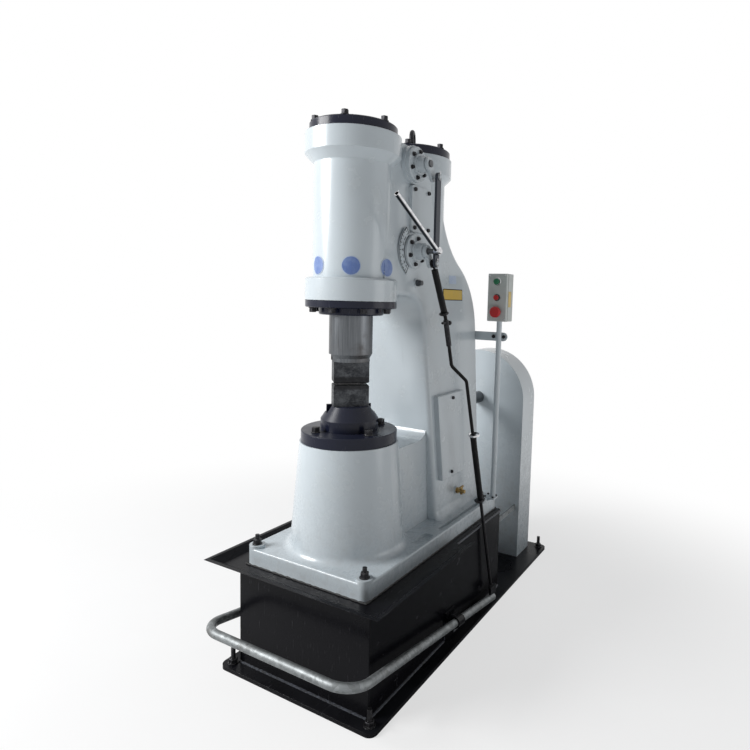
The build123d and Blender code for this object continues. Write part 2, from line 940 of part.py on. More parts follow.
def hand_lever():
    """Eye on the lower valve shaft with a bright tube handle."""
    rise = math.radians(handle_rise)
    x = handle_x
    eye = side_disc(x - handle_eye_half, x + handle_eye_half, valve_y, lower_valve_z, handle_eye_r)
    direction = (0, -math.cos(rise), math.sin(rise))
    start, mouth, end = [
        (x, valve_y + reach * direction[1], lower_valve_z + reach * direction[2])
        for reach in (handle_root, handle_length - handle_mouth, handle_length)
    ]
    tube = rod_between(start, end, handle_r)
    tube -= rod_between(mouth, end, handle_r - handle_wall)
    return eye + tube


def valve_sector():
    """Curved scale plate in front of the lower valve cover."""
    band = Circle(sector_r) - Circle(sector_inner_r)
    reach = 2 * sector_r
    spread = reach * math.tan(math.radians(sector_half_angle))
    wedge = make_face(Polyline((0, 0), (-reach, spread), (-reach, -spread), (0, 0)))
    plane = Plane(origin=(valve_face, valve_y, lower_valve_z), x_dir=(0, 1, 0), z_dir=(1, 0, 0))
    return extrude(plane * (band & wedge), sector_thick)


def treadle_z(y):
    return treadle_level - treadle_slope * y


def foot_treadle():
    """Bent pipe loop round the front of the stand."""
    x = treadle_half
    corner_z = treadle_z(treadle_front)
    path = FilletPolyline(
        (x, treadle_back, treadle_z(treadle_back)), (x, treadle_front, corner_z),
        (-x, treadle_front, corner_z), (-x, treadle_back, treadle_z(treadle_back)),
        radius=treadle_corner,
    )
    plane = Plane(origin=path @ 0, z_dir=path % 0)
    return sweep(plane * (Circle(pipe_r) - Circle(pipe_r - pipe_wall)), path=path)


def treadle_collars():
    """Sleeves on the pipe that turn on the stand's pins."""
    z = treadle_z(treadle_pivot_y)
    collars = []
    for side in (-1, 1):
        x = side * treadle_half
        a = (x, treadle_pivot_y - collar_half, treadle_z(treadle_pivot_y - collar_half))
        b = (x, treadle_pivot_y + collar_half, treadle_z(treadle_pivot_y + collar_half))
        sleeve = rod_between(a, b, pipe_r + collar_wall)
        inner_x = side * (stand_width / 2 + bracket_thick + bracket_side_gap)
        boss_end = side * (treadle_half - pipe_r + 1)
        sleeve += side_disc(min(inner_x, boss_end), max(inner_x, boss_end), treadle_pivot_y, z,
                            treadle_pin_r + boss_wall)
        sleeve -= rod_between(a, b, pipe_r + seat_gap / 2)
        hole_end = side * (treadle_half - pipe_r - 1)
        sleeve -= side_disc(min(inner_x, hole_end), max(inner_x, hole_end), treadle_pivot_y, z,
                            treadle_pin_r + pin_gap)
        collars.append(sleeve)
    return loose(collars)


def treadle_brackets():
    """Pads on the stand's sides with the treadle's pivot pins."""
    z = treadle_z(treadle_pivot_y)
    brackets = []
    for side in (-1, 1):
        wall = side * stand_width / 2
        face = side * (stand_width / 2 + bracket_thick)
        pad = box_between(
            (min(wall, face), treadle_pivot_y - bracket_half, base_thick),
            (max(wall, face), treadle_pivot_y + bracket_half, z + bracket_half),
        )
        tip = side * (treadle_half - pipe_r - 2)
        brackets.append(pad + side_disc(min(face, tip), max(face, tip), treadle_pivot_y, z, treadle_pin_r))
    return loose(brackets)


def treadle_lug():
    """Plate welded on the end of the right pipe, with the rod's lower pin."""
    x = treadle_half
    low_z = treadle_z(treadle_back)
    back = rod_pin_y + lug_edge
    front = back - lug_length
    plate = box_between((x - lug_thick / 2, front, low_z), (x + lug_thick / 2, back, rod_pin_z + lug_rise))
    start = (x, front - lug_length, treadle_z(front - lug_length))
    end = (x, back + lug_length, treadle_z(back + lug_length))
    plate -= rod_between(start, end, pipe_r + seat_gap / 2)
    pin = side_disc(rod_x_low - rod_pin_length, x, rod_pin_y, rod_pin_z, pin_r)
    return (plate + pin).solids().sort_by(SortBy.VOLUME)[-1]


def rod_points():
    """Centre line of the treadle rod from the lever's pin down to the treadle's pin."""
    end_y, end_z = lever_end(lower_valve_z)
    return [
        (rod_eye_in + rod_eye_thick / 2, end_y, end_z),
        (column_half(high_bend_z) + high_bend_gap, high_bend_y, high_bend_z),
        (column_half(middle_bend_z) + middle_bend_gap, middle_bend_y, middle_bend_z),
        (column_half(low_bend_z) + low_bend_gap, low_bend_y, low_bend_z),
        (rod_x_low, rod_pin_y, rod_pin_z),
    ]


def along(a, b, distance):
    """Point on the line from a to b, a distance from a."""
    step = Vector(*b) - Vector(*a)
    return tuple(Vector(*a) + step * (distance / step.length))


def rod_upper_sleeve():
    """Sleeve with a flat eye that hangs from the lever's pin."""
    p = rod_points()
    length = (Vector(*p[1]) - Vector(*p[0])).length
    eye_r = pin_r + open_pivot_gap + rod_eye_wall
    eye = side_disc(rod_eye_in, rod_eye_in + rod_eye_thick, p[0][1], p[0][2], eye_r)
    stem_start = along(p[0], p[1], eye_r + upper_sleeve_start + 2 - upper_stem_length)
    stem = rod_between(stem_start, along(p[0], p[1], eye_r + upper_sleeve_start + 2), upper_stem_r)
    start = along(p[0], p[1], eye_r + upper_sleeve_start)
    sleeve = rod_between(start, along(p[0], p[1], length - upper_sleeve_stop), sleeve_r)
    hole = side_disc(rod_eye_in, rod_eye_in + rod_eye_thick, p[0][1], p[0][2], pin_r + open_pivot_gap)
    return eye + stem + sleeve - hole


def rod_crank():
    """Bent rod that steps out past the column's foot."""
    p = rod_points()
    length = (Vector(*p[1]) - Vector(*p[0])).length
    start = along(p[0], p[1], length - upper_sleeve_stop)
    end = along(p[3], p[4], lower_sleeve_start)
    path = FilletPolyline(start, p[1], p[2], p[3], end, radius=[high_bend_r, low_bend_r, low_bend_r])
    plane = Plane(origin=path @ 0, z_dir=path % 0)
    return sweep(plane * Circle(rod_r), path=path)


def rod_clamp():
    """Split collar under the sleeve with its cross screw."""
    p = rod_points()
    start = along(p[1], p[2], clamp_start)
    end = along(p[1], p[2], clamp_start + clamp_length)
    tube = rod_between(start, end, rod_r + clamp_wall)
    x, y, z = along(p[1], p[2], clamp_start + clamp_screw_at)
    far = y + clamp_screw_half
    tube += rod_between((x, y - clamp_screw_half, z), (x, far - clamp_nut_height / 2, z), clamp_screw_r)
    tube += rod_between((x, far - clamp_nut_height, z), (x, far, z), clamp_nut_r)
    bore_end = along(p[1], p[2], clamp_start + clamp_length + rod_r)
    return tube - rod_between(along(p[1], p[2], clamp_start - rod_r), bore_end, rod_r + seat_gap)


def rod_lower_sleeve():
    p = rod_points()
    end = lower_sleeve_start + lower_sleeve_length
    return rod_between(along(p[3], p[4], lower_sleeve_start), along(p[3], p[4], end), sleeve_r)


def rod_lower():
    """Thin lower rod with a flat eye on the treadle's pin."""
    p = rod_points()
    length = (Vector(*p[4]) - Vector(*p[3])).length
    start = along(p[3], p[4], lower_sleeve_start + lower_sleeve_length)
    rod = rod_between(start, along(p[3], p[4], length - rod_low_eye_r + 4), rod_r)
    eye_in = rod_x_low - rod_low_eye_half
    eye_out = rod_x_low + rod_low_eye_half
    rod += side_disc(eye_in, eye_out, rod_pin_y, rod_pin_z, rod_low_eye_r)
    return rod - side_disc(eye_in - rod_r, eye_out + rod_r, rod_pin_y, rod_pin_z, pin_r + pin_gap)


def column_front_y(z):
    """Y of the column's front face below the throat."""
    share = (throat_top - throat_r - z) / (throat_top - throat_r - tray_top)
    return throat_back + share * (column_front_low - throat_back)


def side_cover():
    """Access cover on the tapered right face, its front edge in line with the column's."""
    low = column_half(side_cover_low)
    high = column_half(side_cover_high)
    with BuildLine() as line:
        Polyline(
            (low, side_cover_low), (low + side_cover_thick, side_cover_low),
            (high + side_cover_thick, side_cover_high), (high, side_cover_high), (low, side_cover_low)
        )
    plate = Pos(0, side_cover_back, 0) * extrude(Plane.XZ * make_face(line.line), side_cover_back)
    low_y = column_front_y(side_cover_low) + side_cover_inset
    high_y = column_front_y(side_cover_high) + side_cover_inset
    outline = make_face(Polyline(
        (low_y, side_cover_low), (side_cover_back, side_cover_low), (side_cover_back, side_cover_high),
        (high_y, side_cover_high), (low_y, side_cover_low)
    ))
    cover = plate & extrude(Plane.YZ * outline, plinth_width)
    return chamfer(cover.faces().sort_by(Axis.X)[-1].edges(), side_cover_edge)


def hold_down_bolts():
    """Studs, nuts and washers that hold the plinth to the stand."""
    seat = plinth_top + boss_rise
    studs = []
    for x, y in hold_down_places():
        nut = hex_head(Pos(x, y, seat), hold_nut, hold_nut_height, hold_washer_r)
        studs.append(nut + disc(x, y, seat, seat + hold_stud_rise, hold_stud_r))
    return loose(studs)


def drain_cock():
    """Small plug cock with its cross handle."""
    x = column_half(cock_z) + pad_rise
    plug_x = x + cock_plug_at
    handle_z = cock_z + cock_plug_high
    body = side_disc(x, x + cock_length, cock_y, cock_z, cock_r)
    body += side_disc(x, x + cock_collar_length, cock_y, cock_z, cock_collar_r)
    body += rod_between((plug_x, cock_y, cock_z - cock_plug_low), (plug_x, cock_y, handle_z), cock_plug_r)
    handle_low = handle_z - cock_handle_sink
    low = (plug_x - cock_handle_wide / 2, cock_y - cock_handle_half, handle_low)
    high = (plug_x + cock_handle_wide / 2, cock_y + cock_handle_half, handle_low + cock_handle_thick)
    return body + box_between(low, high)


def oil_cup():
    x = column_half(oil_z) + pad_rise
    base = side_disc(x, x + oil_step, oil_y, oil_z, oil_base_r)
    return base + side_disc(x + oil_step, x + 2 * oil_step, oil_y, oil_z, oil_lid_r)


def pole_y():
    """Y of the pole, which stands in front of its stay."""
    return column_back_y(bar_z - bar_height / 2) - pole_r


def control_pole():
    return disc(pole_x, pole_y(), plinth_top + foot_plate_thick, pole_top, pole_r)


def pole_foot():
    low = (plinth_width / 2 - foot_plate_in, pole_y() - foot_plate_half, plinth_top)
    high = (pole_x + pole_r + foot_plate_out, pole_y() + foot_plate_half, plinth_top + foot_plate_thick)
    return fillet(box_between(low, high).edges().filter_by(Axis.Z), foot_plate_corner)


def pole_bar():
    """Flat stay with a round end, from the back of the column to the pole."""
    low_y = pole_y() + pole_r
    high_y = low_y + bar_thick
    end_x = bar_reach - bar_height / 2
    bar = box_between((bar_start, low_y, bar_z - bar_height / 2), (end_x, high_y, bar_z + bar_height / 2))
    return bar + rod_between((end_x, low_y, bar_z), (end_x, high_y, bar_z), bar_height / 2)


def box_front():
    """Y of the button box's front face."""
    return pole_y() - box_depth / 2


def control_box():
    """Push-button box with a hole for each button."""
    x = pole_x
    low = (x - box_width / 2, box_front(), pole_top)
    high = (x + box_width / 2, box_front() + box_depth, pole_top + box_height)
    box = fillet(box_between(low, high).edges(), box_edge)
    for z, r in button_rows():
        box -= rod_between((x, box_front(), z), (x, box_front() + button_hole_depth, z), r + running_gap)
    return box


def button_rows():
    """Height and stem radius of the three buttons, from the top."""
    return [
        (pole_top + box_height - top_button_drop, start_stem_r),
        (pole_top + box_height / 2, stop_stem_r),
        (pole_top + low_button_rise, emergency_stem_r),
    ]


def push_button(row, cap_r, cap_long):
    """Stem in the box and the cap in front of it."""
    z, r = button_rows()[row]
    x = pole_x
    seat_y = box_front() - button_proud
    stem = rod_between((x, box_front() + button_stem_depth, z), (x, seat_y, z), r)
    cap = rod_between((x, seat_y, z), (x, seat_y - cap_long, z), cap_r)
    return stem + chamfer(cap.faces().sort_by(Axis.Y)[0].edges(), cap_long / 4)


def start_button():
    return push_button(0, start_cap_r, flat_cap_long)


def stop_button():
    return push_button(1, stop_cap_r, flat_cap_long)


def emergency_button():
    return push_button(2, emergency_cap_r, emergency_cap_long)


def belt_guard():
    """Sheet housing with a round top over the belt pulleys."""
    z = guard_centre_z
    with BuildLine() as line:
        Line((-guard_half, base_thick), (guard_half, base_thick))
        Line((guard_half, base_thick), (guard_half, z))
        ThreePointArc((guard_half, z), (0, z + guard_half), (-guard_half, z))
        Line((-guard_half, z), (-guard_half, base_thick))
    return Pos(0, guard_back, 0) * extrude(Plane.XZ * make_face(line.line), guard_depth)


def guard_strap():
    """Strap from the back of the stand to the guard."""
    low = (strap_right - strap_thick, stand_back, strap_low)
    return box_between(low, (strap_right, guard_front, strap_low + strap_height))


def crank_bearing():
    """Round bearing housing on the back of the column."""
    start, middle, end = [
        (0, bearing_seat + depth, guard_centre_z) for depth in (0, bearing_flange, bearing_length)
    ]
    flange = rod_between(start, middle, bearing_r)
    neck = rod_between(middle, end, bearing_r - bearing_neck_wall)
    return flange + neck - rod_between(start, end, drive_shaft_r + seat_gap)


def drive_shaft():
    start = (0, bearing_seat + drive_shaft_start, guard_centre_z)
    return rod_between(start, (0, guard_front, guard_centre_z), drive_shaft_r)


nodes = {
    "base_plate": base_plate,
    "anchor_bolts": anchor_bolts,
    "stand_box": stand_box,
    "drip_tray": drip_tray,
    "frame_casting": frame_casting,
    "hold_down_bolts": hold_down_bolts,
    "anvil_ring": anvil_ring,
    "ring_bolts": ring_bolt_heads,
    "die_holder": die_holder,
    "lower_die": lower_die,
    "lower_die_key": lower_die_key,
    "upper_die": upper_die,
    "upper_die_key": upper_die_key,
    "ram": ram,
    "gland_ring": gland_ring,
    "gland": gland,
    "gland_bolts": gland_bolt_heads,
    "front_cylinder_cap": front_cylinder_cap,
    "front_cap_bolts": front_cap_bolts,
    "rear_cylinder_cap": rear_cylinder_cap,
    "rear_cap_bolts": rear_cap_bolts,
    "lifting_eyebolt": lifting_eyebolt,
    "upper_valve_cover": upper_valve_cover,
    "lower_valve_cover": lower_valve_cover,
    "valve_cover_bolts": valve_cover_bolts,
    "left_valve_covers": left_valve_covers,
    "port_cover": port_cover,
    "valve_sector": valve_sector,
    "upper_valve_shaft": upper_valve_shaft,
    "upper_valve_lever": upper_valve_lever,
    "lower_valve_shaft": lower_valve_shaft,
    "lower_valve_lever": lower_valve_lever,
    "hand_lever": hand_lever,
    "link_bar": link_bar,
    "rod_upper_sleeve": rod_upper_sleeve,
    "rod_clamp": rod_clamp,
    "rod_crank": rod_crank,
    "rod_lower_sleeve": rod_lower_sleeve,
    "rod_lower": rod_lower,
    "foot_treadle": foot_treadle,
    "treadle_collars": treadle_collars,
    "treadle_brackets": treadle_brackets,
    "treadle_lug": treadle_lug,
    "side_cover": side_cover,
    "drain_cock": drain_cock,
    "oil_cup": oil_cup,
    "control_pole": control_pole,
    "pole_foot": pole_foot,
    "pole_bar": pole_bar,
    "control_box": control_box,
    "start_button": start_button,
    "stop_button": stop_button,
    "emergency_button": emergency_button,
    "belt_guard": belt_guard,
    "guard_strap": guard_strap,
    "crank_bearing": crank_bearing,
    "drive_shaft": drive_shaft,
}

os.makedirs("parts", exist_ok=True)
for name, make in nodes.items():
    export_step(make(), f"parts/{name}.step")
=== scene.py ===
import math
import random

import bmesh
import bpy
from mathutils import Matrix, Vector


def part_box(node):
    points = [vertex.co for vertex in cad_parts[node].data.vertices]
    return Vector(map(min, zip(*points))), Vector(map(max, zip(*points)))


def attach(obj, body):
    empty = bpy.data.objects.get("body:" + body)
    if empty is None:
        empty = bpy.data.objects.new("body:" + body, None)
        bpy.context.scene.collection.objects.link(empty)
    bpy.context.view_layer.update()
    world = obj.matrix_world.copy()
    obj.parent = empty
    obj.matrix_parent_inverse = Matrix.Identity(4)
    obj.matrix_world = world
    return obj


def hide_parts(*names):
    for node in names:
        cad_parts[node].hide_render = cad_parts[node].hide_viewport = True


bl_info = {
    "name": "Forging Hammer Dressing",
    "version": (1, 0, 0),
    "blender": (4, 5, 0),
    "location": "3D View > Sidebar > Hammer",
    "description": "Paint, bright metal, small fittings and a plain studio for a pneumatic forging hammer",
    "category": "Object",
}

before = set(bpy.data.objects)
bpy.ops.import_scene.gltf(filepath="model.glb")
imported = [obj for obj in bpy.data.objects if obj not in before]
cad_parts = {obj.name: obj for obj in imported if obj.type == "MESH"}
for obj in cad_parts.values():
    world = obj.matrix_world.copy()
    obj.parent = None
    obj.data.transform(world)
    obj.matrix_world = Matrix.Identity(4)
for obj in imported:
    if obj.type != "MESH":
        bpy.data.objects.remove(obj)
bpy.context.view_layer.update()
random.seed(7)


# Sizes of the casting that the fittings sit on, in metres
COLUMN_TOP_HALF = 0.104
COLUMN_LOW_HALF = 0.158
COLUMN_TOP_Z = 1.657
COLUMN_LOW_Z = 0.425
BARREL_R = 0.119
VALVE_Y = 0.160
LOWER_VALVE_Z = 1.325
LABEL_Z = 1.2645
PLATE_Y = 0.441
PLATE_Z = 1.191

RIGHT = Matrix.Rotation(math.radians(90), 4, "Y")
FRONT = Matrix.Rotation(math.radians(90), 4, "X")
BACK = Matrix.Rotation(math.radians(-90), 4, "X")
UP = Matrix.Identity(4)


def at(x, y, z, facing=UP):
    """Place with its own Z along a facing."""
    return Matrix.Translation((x, y, z)) @ facing


def column_half(z):
    """Half width of the tapered column at a height."""
    share = (COLUMN_TOP_Z - z) / (COLUMN_TOP_Z - COLUMN_LOW_Z)
    return COLUMN_TOP_HALF + share * (COLUMN_LOW_HALF - COLUMN_TOP_HALF)


def column_lean():
    """Angle by which the column's side faces lean in."""
    return math.atan2(COLUMN_LOW_HALF - COLUMN_TOP_HALF, COLUMN_TOP_Z - COLUMN_LOW_Z)


def on_column(y, z, lift=0.0):
    """Place on the column's right face, its own Z square to the face and its own Y up the face."""
    turn = Matrix.Rotation(-column_lean(), 4, "Y")
    upright = Matrix.Rotation(math.radians(90), 4, "Z") @ Matrix.Rotation(math.radians(90), 4, "X")
    return Matrix.Translation((column_half(z), y, z)) @ turn @ upright @ Matrix.Translation((0, 0, lift))


class HammerColours(bpy.types.PropertyGroup):
    """Colours of the finishes."""

    body_paint: bpy.props.FloatVectorProperty(
        name="Body paint", description="Pale blue grey enamel of the casting and the guard",
        subtype="COLOR", default=(0.50, 0.555, 0.59), min=0, max=1)
    stand_paint: bpy.props.FloatVectorProperty(
        name="Stand paint", description="Black enamel of the stand, tray and caps",
        subtype="COLOR", default=(0.004, 0.004, 0.0055), min=0, max=1)
    cap_paint: bpy.props.FloatVectorProperty(
        name="Cap paint", description="Blue black enamel of the cylinder caps",
        subtype="COLOR", default=(0.007, 0.009, 0.022), min=0, max=1)
    zinc: bpy.props.FloatVectorProperty(
        name="Zinc", description="Galvanised pipe of the treadle",
        subtype="COLOR", default=(0.22, 0.235, 0.24), min=0, max=1)
    disc_blue: bpy.props.FloatVectorProperty(
        name="Disc blue", description="Blank round labels on the cylinder",
        subtype="COLOR", default=(0.09, 0.16, 0.40), min=0, max=1)
    plate_yellow: bpy.props.FloatVectorProperty(
        name="Plate yellow", description="Blank plate on the column",
        subtype="COLOR", default=(0.60, 0.40, 0.05), min=0, max=1)
    floor: bpy.props.FloatVectorProperty(
        name="Floor", description="Plain studio floor",
        subtype="COLOR", default=(0.94, 0.94, 0.94), min=0, max=1)


class HammerSizes(bpy.types.PropertyGroup):
    """Sizes of the small fittings."""

    label_radius: bpy.props.FloatProperty(
        name="Label radius", description="Radius of the blank round labels",
        default=0.0285, unit="LENGTH", subtype="DISTANCE")
    weld_leg: bpy.props.FloatProperty(
        name="Weld leg", description="Leg of the fillet welds on the stand",
        default=0.0045, unit="LENGTH", subtype="DISTANCE")
    thread_pitch: bpy.props.FloatProperty(
        name="Thread pitch", description="Pitch of the studs' threads",
        default=0.00175, unit="LENGTH", subtype="DISTANCE")
    sealant_radius: bpy.props.FloatProperty(
        name="Sealant radius", description="Radius of the sealant bead round the plinth",
        default=0.0035, unit="LENGTH", subtype="DISTANCE")


class HammerStudio(bpy.types.PropertyGroup):
    """Camera and lamps."""

    eye: bpy.props.FloatVectorProperty(
        name="Eye", description="Camera position", default=(1.1223, -1.453, 1.1775),
        unit="LENGTH", subtype="TRANSLATION")
    yaw: bpy.props.FloatProperty(
        name="Yaw", description="Turn of the camera from the front axis", default=-0.5042,
        unit="ROTATION", subtype="ANGLE")
    pitch: bpy.props.FloatProperty(
        name="Pitch", description="Tilt of the camera", default=-0.0892,
        unit="ROTATION", subtype="ANGLE")
    roll: bpy.props.FloatProperty(
        name="Roll", description="Roll of the camera", default=0.0292,
        unit="ROTATION", subtype="ANGLE")
    lens: bpy.props.FloatProperty(
        name="Lens", description="Focal length in millimetres on a 36 mm sensor", default=27.82,
        unit="CAMERA", subtype="DISTANCE_CAMERA")
    key_power: bpy.props.FloatProperty(
        name="Key power", description="Power of the large soft lamp at the left", default=225.0,
        unit="POWER", subtype="POWER")
    fill_power: bpy.props.FloatProperty(
        name="Fill power", description="Power of the soft lamp at the right", default=14.0,
        unit="POWER", subtype="POWER")
    sky: bpy.props.FloatProperty(
        name="Sky", description="Brightness of the even light all round", default=0.16, min=0, max=2)


class Wire:
    """A shader socket that takes part in Python arithmetic."""

    def __init__(self, finish, socket):
        self.finish = finish
        self.socket = socket

    def maths(self, operation, *values):
        return self.finish.node("ShaderNodeMath", {"operation": operation}, dict(enumerate(values)))

    def __add__(self, other):
        return self.maths("ADD", self, other)

    def __radd__(self, other):
        return self.maths("ADD", other, self)

    def __sub__(self, other):
        return self.maths("SUBTRACT", self, other)

    def __rsub__(self, other):
        return self.maths("SUBTRACT", other, self)

    def __mul__(self, other):
        return self.maths("MULTIPLY", self, other)

    def __rmul__(self, other):
        return self.maths("MULTIPLY", other, self)


class Finish:
    """A material under construction, with one principled shader."""

    def __init__(self, name, **fixed):
        self.material = bpy.data.materials.new(name)
        self.material.use_nodes = True
        self.tree = self.material.node_tree
        self.tree.nodes.clear()
        self.shader = self.tree.nodes.new("ShaderNodeBsdfPrincipled")
        output = self.tree.nodes.new("ShaderNodeOutputMaterial")
        self.tree.links.new(self.shader.outputs[0], output.inputs[0])
        for key, value in fixed.items():
            self.shader.inputs[key.replace("_", " ")].default_value = value
        self.place = self.node("ShaderNodeTexCoord", output="Object")

    def node(self, kind, settings=None, inputs=None, output=0):
        """Any node: its settings first, then the values or links of its sockets."""
        made = self.tree.nodes.new(kind)
        for key, value in (settings or {}).items():
            if key == "stops":
                self.set_stops(made.color_ramp, value)
            else:
                setattr(made, key, value)
        for key, value in (inputs or {}).items():
            self.feed(made.inputs[key], value)
        return Wire(self, made.outputs[output])

    @staticmethod
    def set_stops(ramp, stops):
        while len(ramp.elements) < len(stops):
            ramp.elements.new(0.5)
        for element, (position, colour) in zip(ramp.elements, stops):
            element.position = position
            element.color = (*colour, 1)

    def feed(self, socket, value):
        if isinstance(value, Wire):
            self.tree.links.new(value.socket, socket)
        elif hasattr(value, "__len__") and len(value) == 3 and socket.type == "RGBA":
            socket.default_value = (*value, 1)
        else:
            socket.default_value = value

    def stretched(self, x, y, z):
        """The place, scaled along each axis."""
        return self.node("ShaderNodeVectorMath", {"operation": "MULTIPLY"}, {0: self.place, 1: (x, y, z)})

    def noise(self, scale, detail=2.0, rough=0.5, vector=None, warp=0.0):
        return self.node("ShaderNodeTexNoise", {}, {
            "Vector": vector or self.place, "Scale": scale, "Detail": detail,
            "Roughness": rough, "Distortion": warp,
        })

    def cells(self, scale):
        return self.node("ShaderNodeTexVoronoi", {}, {"Vector": self.place, "Scale": scale}, "Color")

    def band(self, value, low, high):
        """0 below low, 1 above high, smooth between."""
        smooth = {"interpolation_type": "SMOOTHSTEP"}
        return self.node("ShaderNodeMapRange", smooth, {0: value, 1: low, 2: high})

    def blend(self, share, first, second):
        return self.node("ShaderNodeMix", {"data_type": "RGBA"}, {0: share, 6: first, 7: second}, 2)

    def part(self, vector, axis):
        return self.node("ShaderNodeSeparateXYZ", {}, {0: vector}, axis)

    def height(self):
        return self.part(self.place, "Z")

    def normal(self):
        return self.node("ShaderNodeNewGeometry", output="Normal")

    def upward(self):
        """How far the surface faces up."""
        return self.part(self.normal(), "Z")

    def rounded(self, radius):
        """Normal with softened edges."""
        return self.node("ShaderNodeBevel", {"samples": 4}, {"Radius": radius})

    def edges(self, softened):
        """0 on flats, rising at edges."""
        dot = self.node("ShaderNodeVectorMath", {"operation": "DOT_PRODUCT"},
                        {0: softened, 1: self.normal()}, "Value")
        return 1 - dot

    def bump(self, height, depth, normal=None):
        inputs = {"Height": height, "Distance": depth, "Strength": 1.0}
        if normal:
            inputs["Normal"] = normal
        return self.node("ShaderNodeBump", {}, inputs)

    def wear(self, **feeds):
        for key, value in feeds.items():
            self.feed(self.shader.inputs[key.replace("_", " ")], value)
        return self.material


def shade(colour, share):
    """A colour made darker or lighter."""
    return tuple(min(1.0, c * share) for c in colour[:3])


def toward(colour, other, share):
    return tuple(a + share * (b - a) for a, b in zip(colour[:3], other[:3]))


def grey_enamel(colours):
    """Gloss enamel brushed over a filled casting."""
    base = tuple(colours.body_paint)
    f = Finish("grey_enamel", Coat_Weight=0.30, Coat_Roughness=0.13, Specular_IOR_Level=0.5)
    cloud = f.noise(2.6, 3.0)
    patch = f.noise(11.0, 4.0, 0.6)
    colour = f.blend(f.band(cloud, 0.3, 0.7), shade(base, 0.95), shade(base, 1.04))
    colour = f.blend(f.band(patch, 0.52, 0.75) * 0.35, colour, toward(base, (0.42, 0.44, 0.42), 0.5))
    dust = f.band(0.62 - f.height(), 0.0, 0.35) * f.band(f.noise(38.0, 5.0, 0.65), 0.42, 0.72)
    colour = f.blend(dust * 0.30, colour, (0.25, 0.24, 0.22))
    runs = f.noise(1.0, 3.0, 0.6, f.stretched(70.0, 70.0, 2.2))
    colour = f.blend(f.band(runs, 0.60, 0.80) * 0.16, colour, shade(base, 0.62))
    soft = f.rounded(0.0022)
    edge = f.band(f.edges(soft), 0.03, 0.30)
    chips = edge * f.band(f.noise(85.0, 4.0, 0.7), 0.56, 0.64)
    colour = f.blend(chips * 0.75, colour, (0.10, 0.10, 0.105))
    peel = f.noise(210.0, 1.0) * 0.05
    wave = f.noise(16.0, 2.0) * 0.55
    rough = 0.20 + 0.12 * patch + 0.25 * dust + 0.2 * chips
    return f.wear(Base_Color=colour, Roughness=rough, Normal=f.bump(peel + wave, 0.001, soft))


def black_enamel(name, base, gloss, shine=0.10):
    """Dark enamel with a film of dust where it faces up."""
    f = Finish(name, Specular_IOR_Level=shine)
    cloud = f.noise(4.5, 4.0, 0.6)
    fine = f.noise(55.0, 5.0, 0.7)
    film = f.band(f.upward(), 0.2, 0.9) * f.band(cloud, 0.35, 0.7)
    colour = f.blend(film * 0.4, base, toward(base, (0.030, 0.032, 0.038), 0.6))
    soft = f.rounded(0.0018)
    worn = f.band(f.edges(soft), 0.04, 0.30) * f.band(fine, 0.53, 0.66)
    colour = f.blend(worn * 0.7, colour, (0.085, 0.085, 0.090))
    scratch = f.band(f.noise(1.0, 2.0, 0.5, f.stretched(240.0, 18.0, 30.0), 0.6), 0.66, 0.74)
    colour = f.blend(scratch * 0.25, colour, (0.10, 0.10, 0.11))
    rough = gloss + 0.14 * cloud + 0.18 * film + 0.12 * scratch
    peel = f.noise(190.0, 1.0) * 0.05 + f.noise(13.0, 2.0) * 0.5
    return f.wear(Base_Color=colour, Roughness=rough, Normal=f.bump(peel, 0.001, soft))


def turned_steel():
    """Ground steel of the ram and shafts, with fine upright marks and oil stains."""
    f = Finish("turned_steel", Metallic=1.0)
    marks = f.noise(1.0, 4.0, 0.7, f.stretched(420.0, 420.0, 6.0))
    stain = f.noise(9.0, 5.0, 0.65)
    drip = f.noise(1.0, 3.0, 0.6, f.stretched(60.0, 60.0, 5.0))
    colour = f.blend(f.band(marks, 0.3, 0.7), (0.085, 0.092, 0.100), (0.140, 0.148, 0.158))
    colour = f.blend(f.band(stain, 0.48, 0.70) * 0.65, colour, (0.065, 0.060, 0.058))
    colour = f.blend(f.band(drip, 0.55, 0.75) * 0.4, colour, (0.045, 0.043, 0.042))
    rough = 0.24 + 0.16 * marks + 0.16 * f.band(stain, 0.45, 0.75)
    return f.wear(Base_Color=colour, Roughness=rough, Normal=f.bump(marks, 0.00008, f.rounded(0.0008)))


def forged_steel():
    """Dark scaled faces of the dies with milling marks, and painted shade at the gap where they meet."""
    f = Finish("forged_steel", Metallic=0.75)
    scale = f.noise(32.0, 6.0, 0.75, None, 0.4)
    marks = f.noise(1.0, 3.0, 0.7, f.stretched(60.0, 60.0, 340.0))
    colour = f.blend(f.band(scale, 0.38, 0.66), (0.020, 0.022, 0.026), (0.080, 0.085, 0.092))
    colour = f.blend(f.band(marks, 0.52, 0.75) * 0.5, colour, (0.125, 0.130, 0.135))
    # Painted shade: a near-black band at the height of the gap between the upper and lower die.
    painted_gap_shade = f.band(f.height(), 0.883, 0.891) * f.band(0.930 - f.height(), 0.0, 0.008)
    colour = f.blend(painted_gap_shade * 0.75, colour, (0.012, 0.012, 0.013))
    soft = f.rounded(0.0014)
    worn = f.band(f.edges(soft), 0.03, 0.25)
    colour = f.blend(worn * 0.55, colour, (0.34, 0.34, 0.34))
    rough = 0.62 - 0.18 * scale
    return f.wear(Base_Color=colour, Roughness=rough, Normal=f.bump(scale + 0.4 * marks, 0.0006, soft))


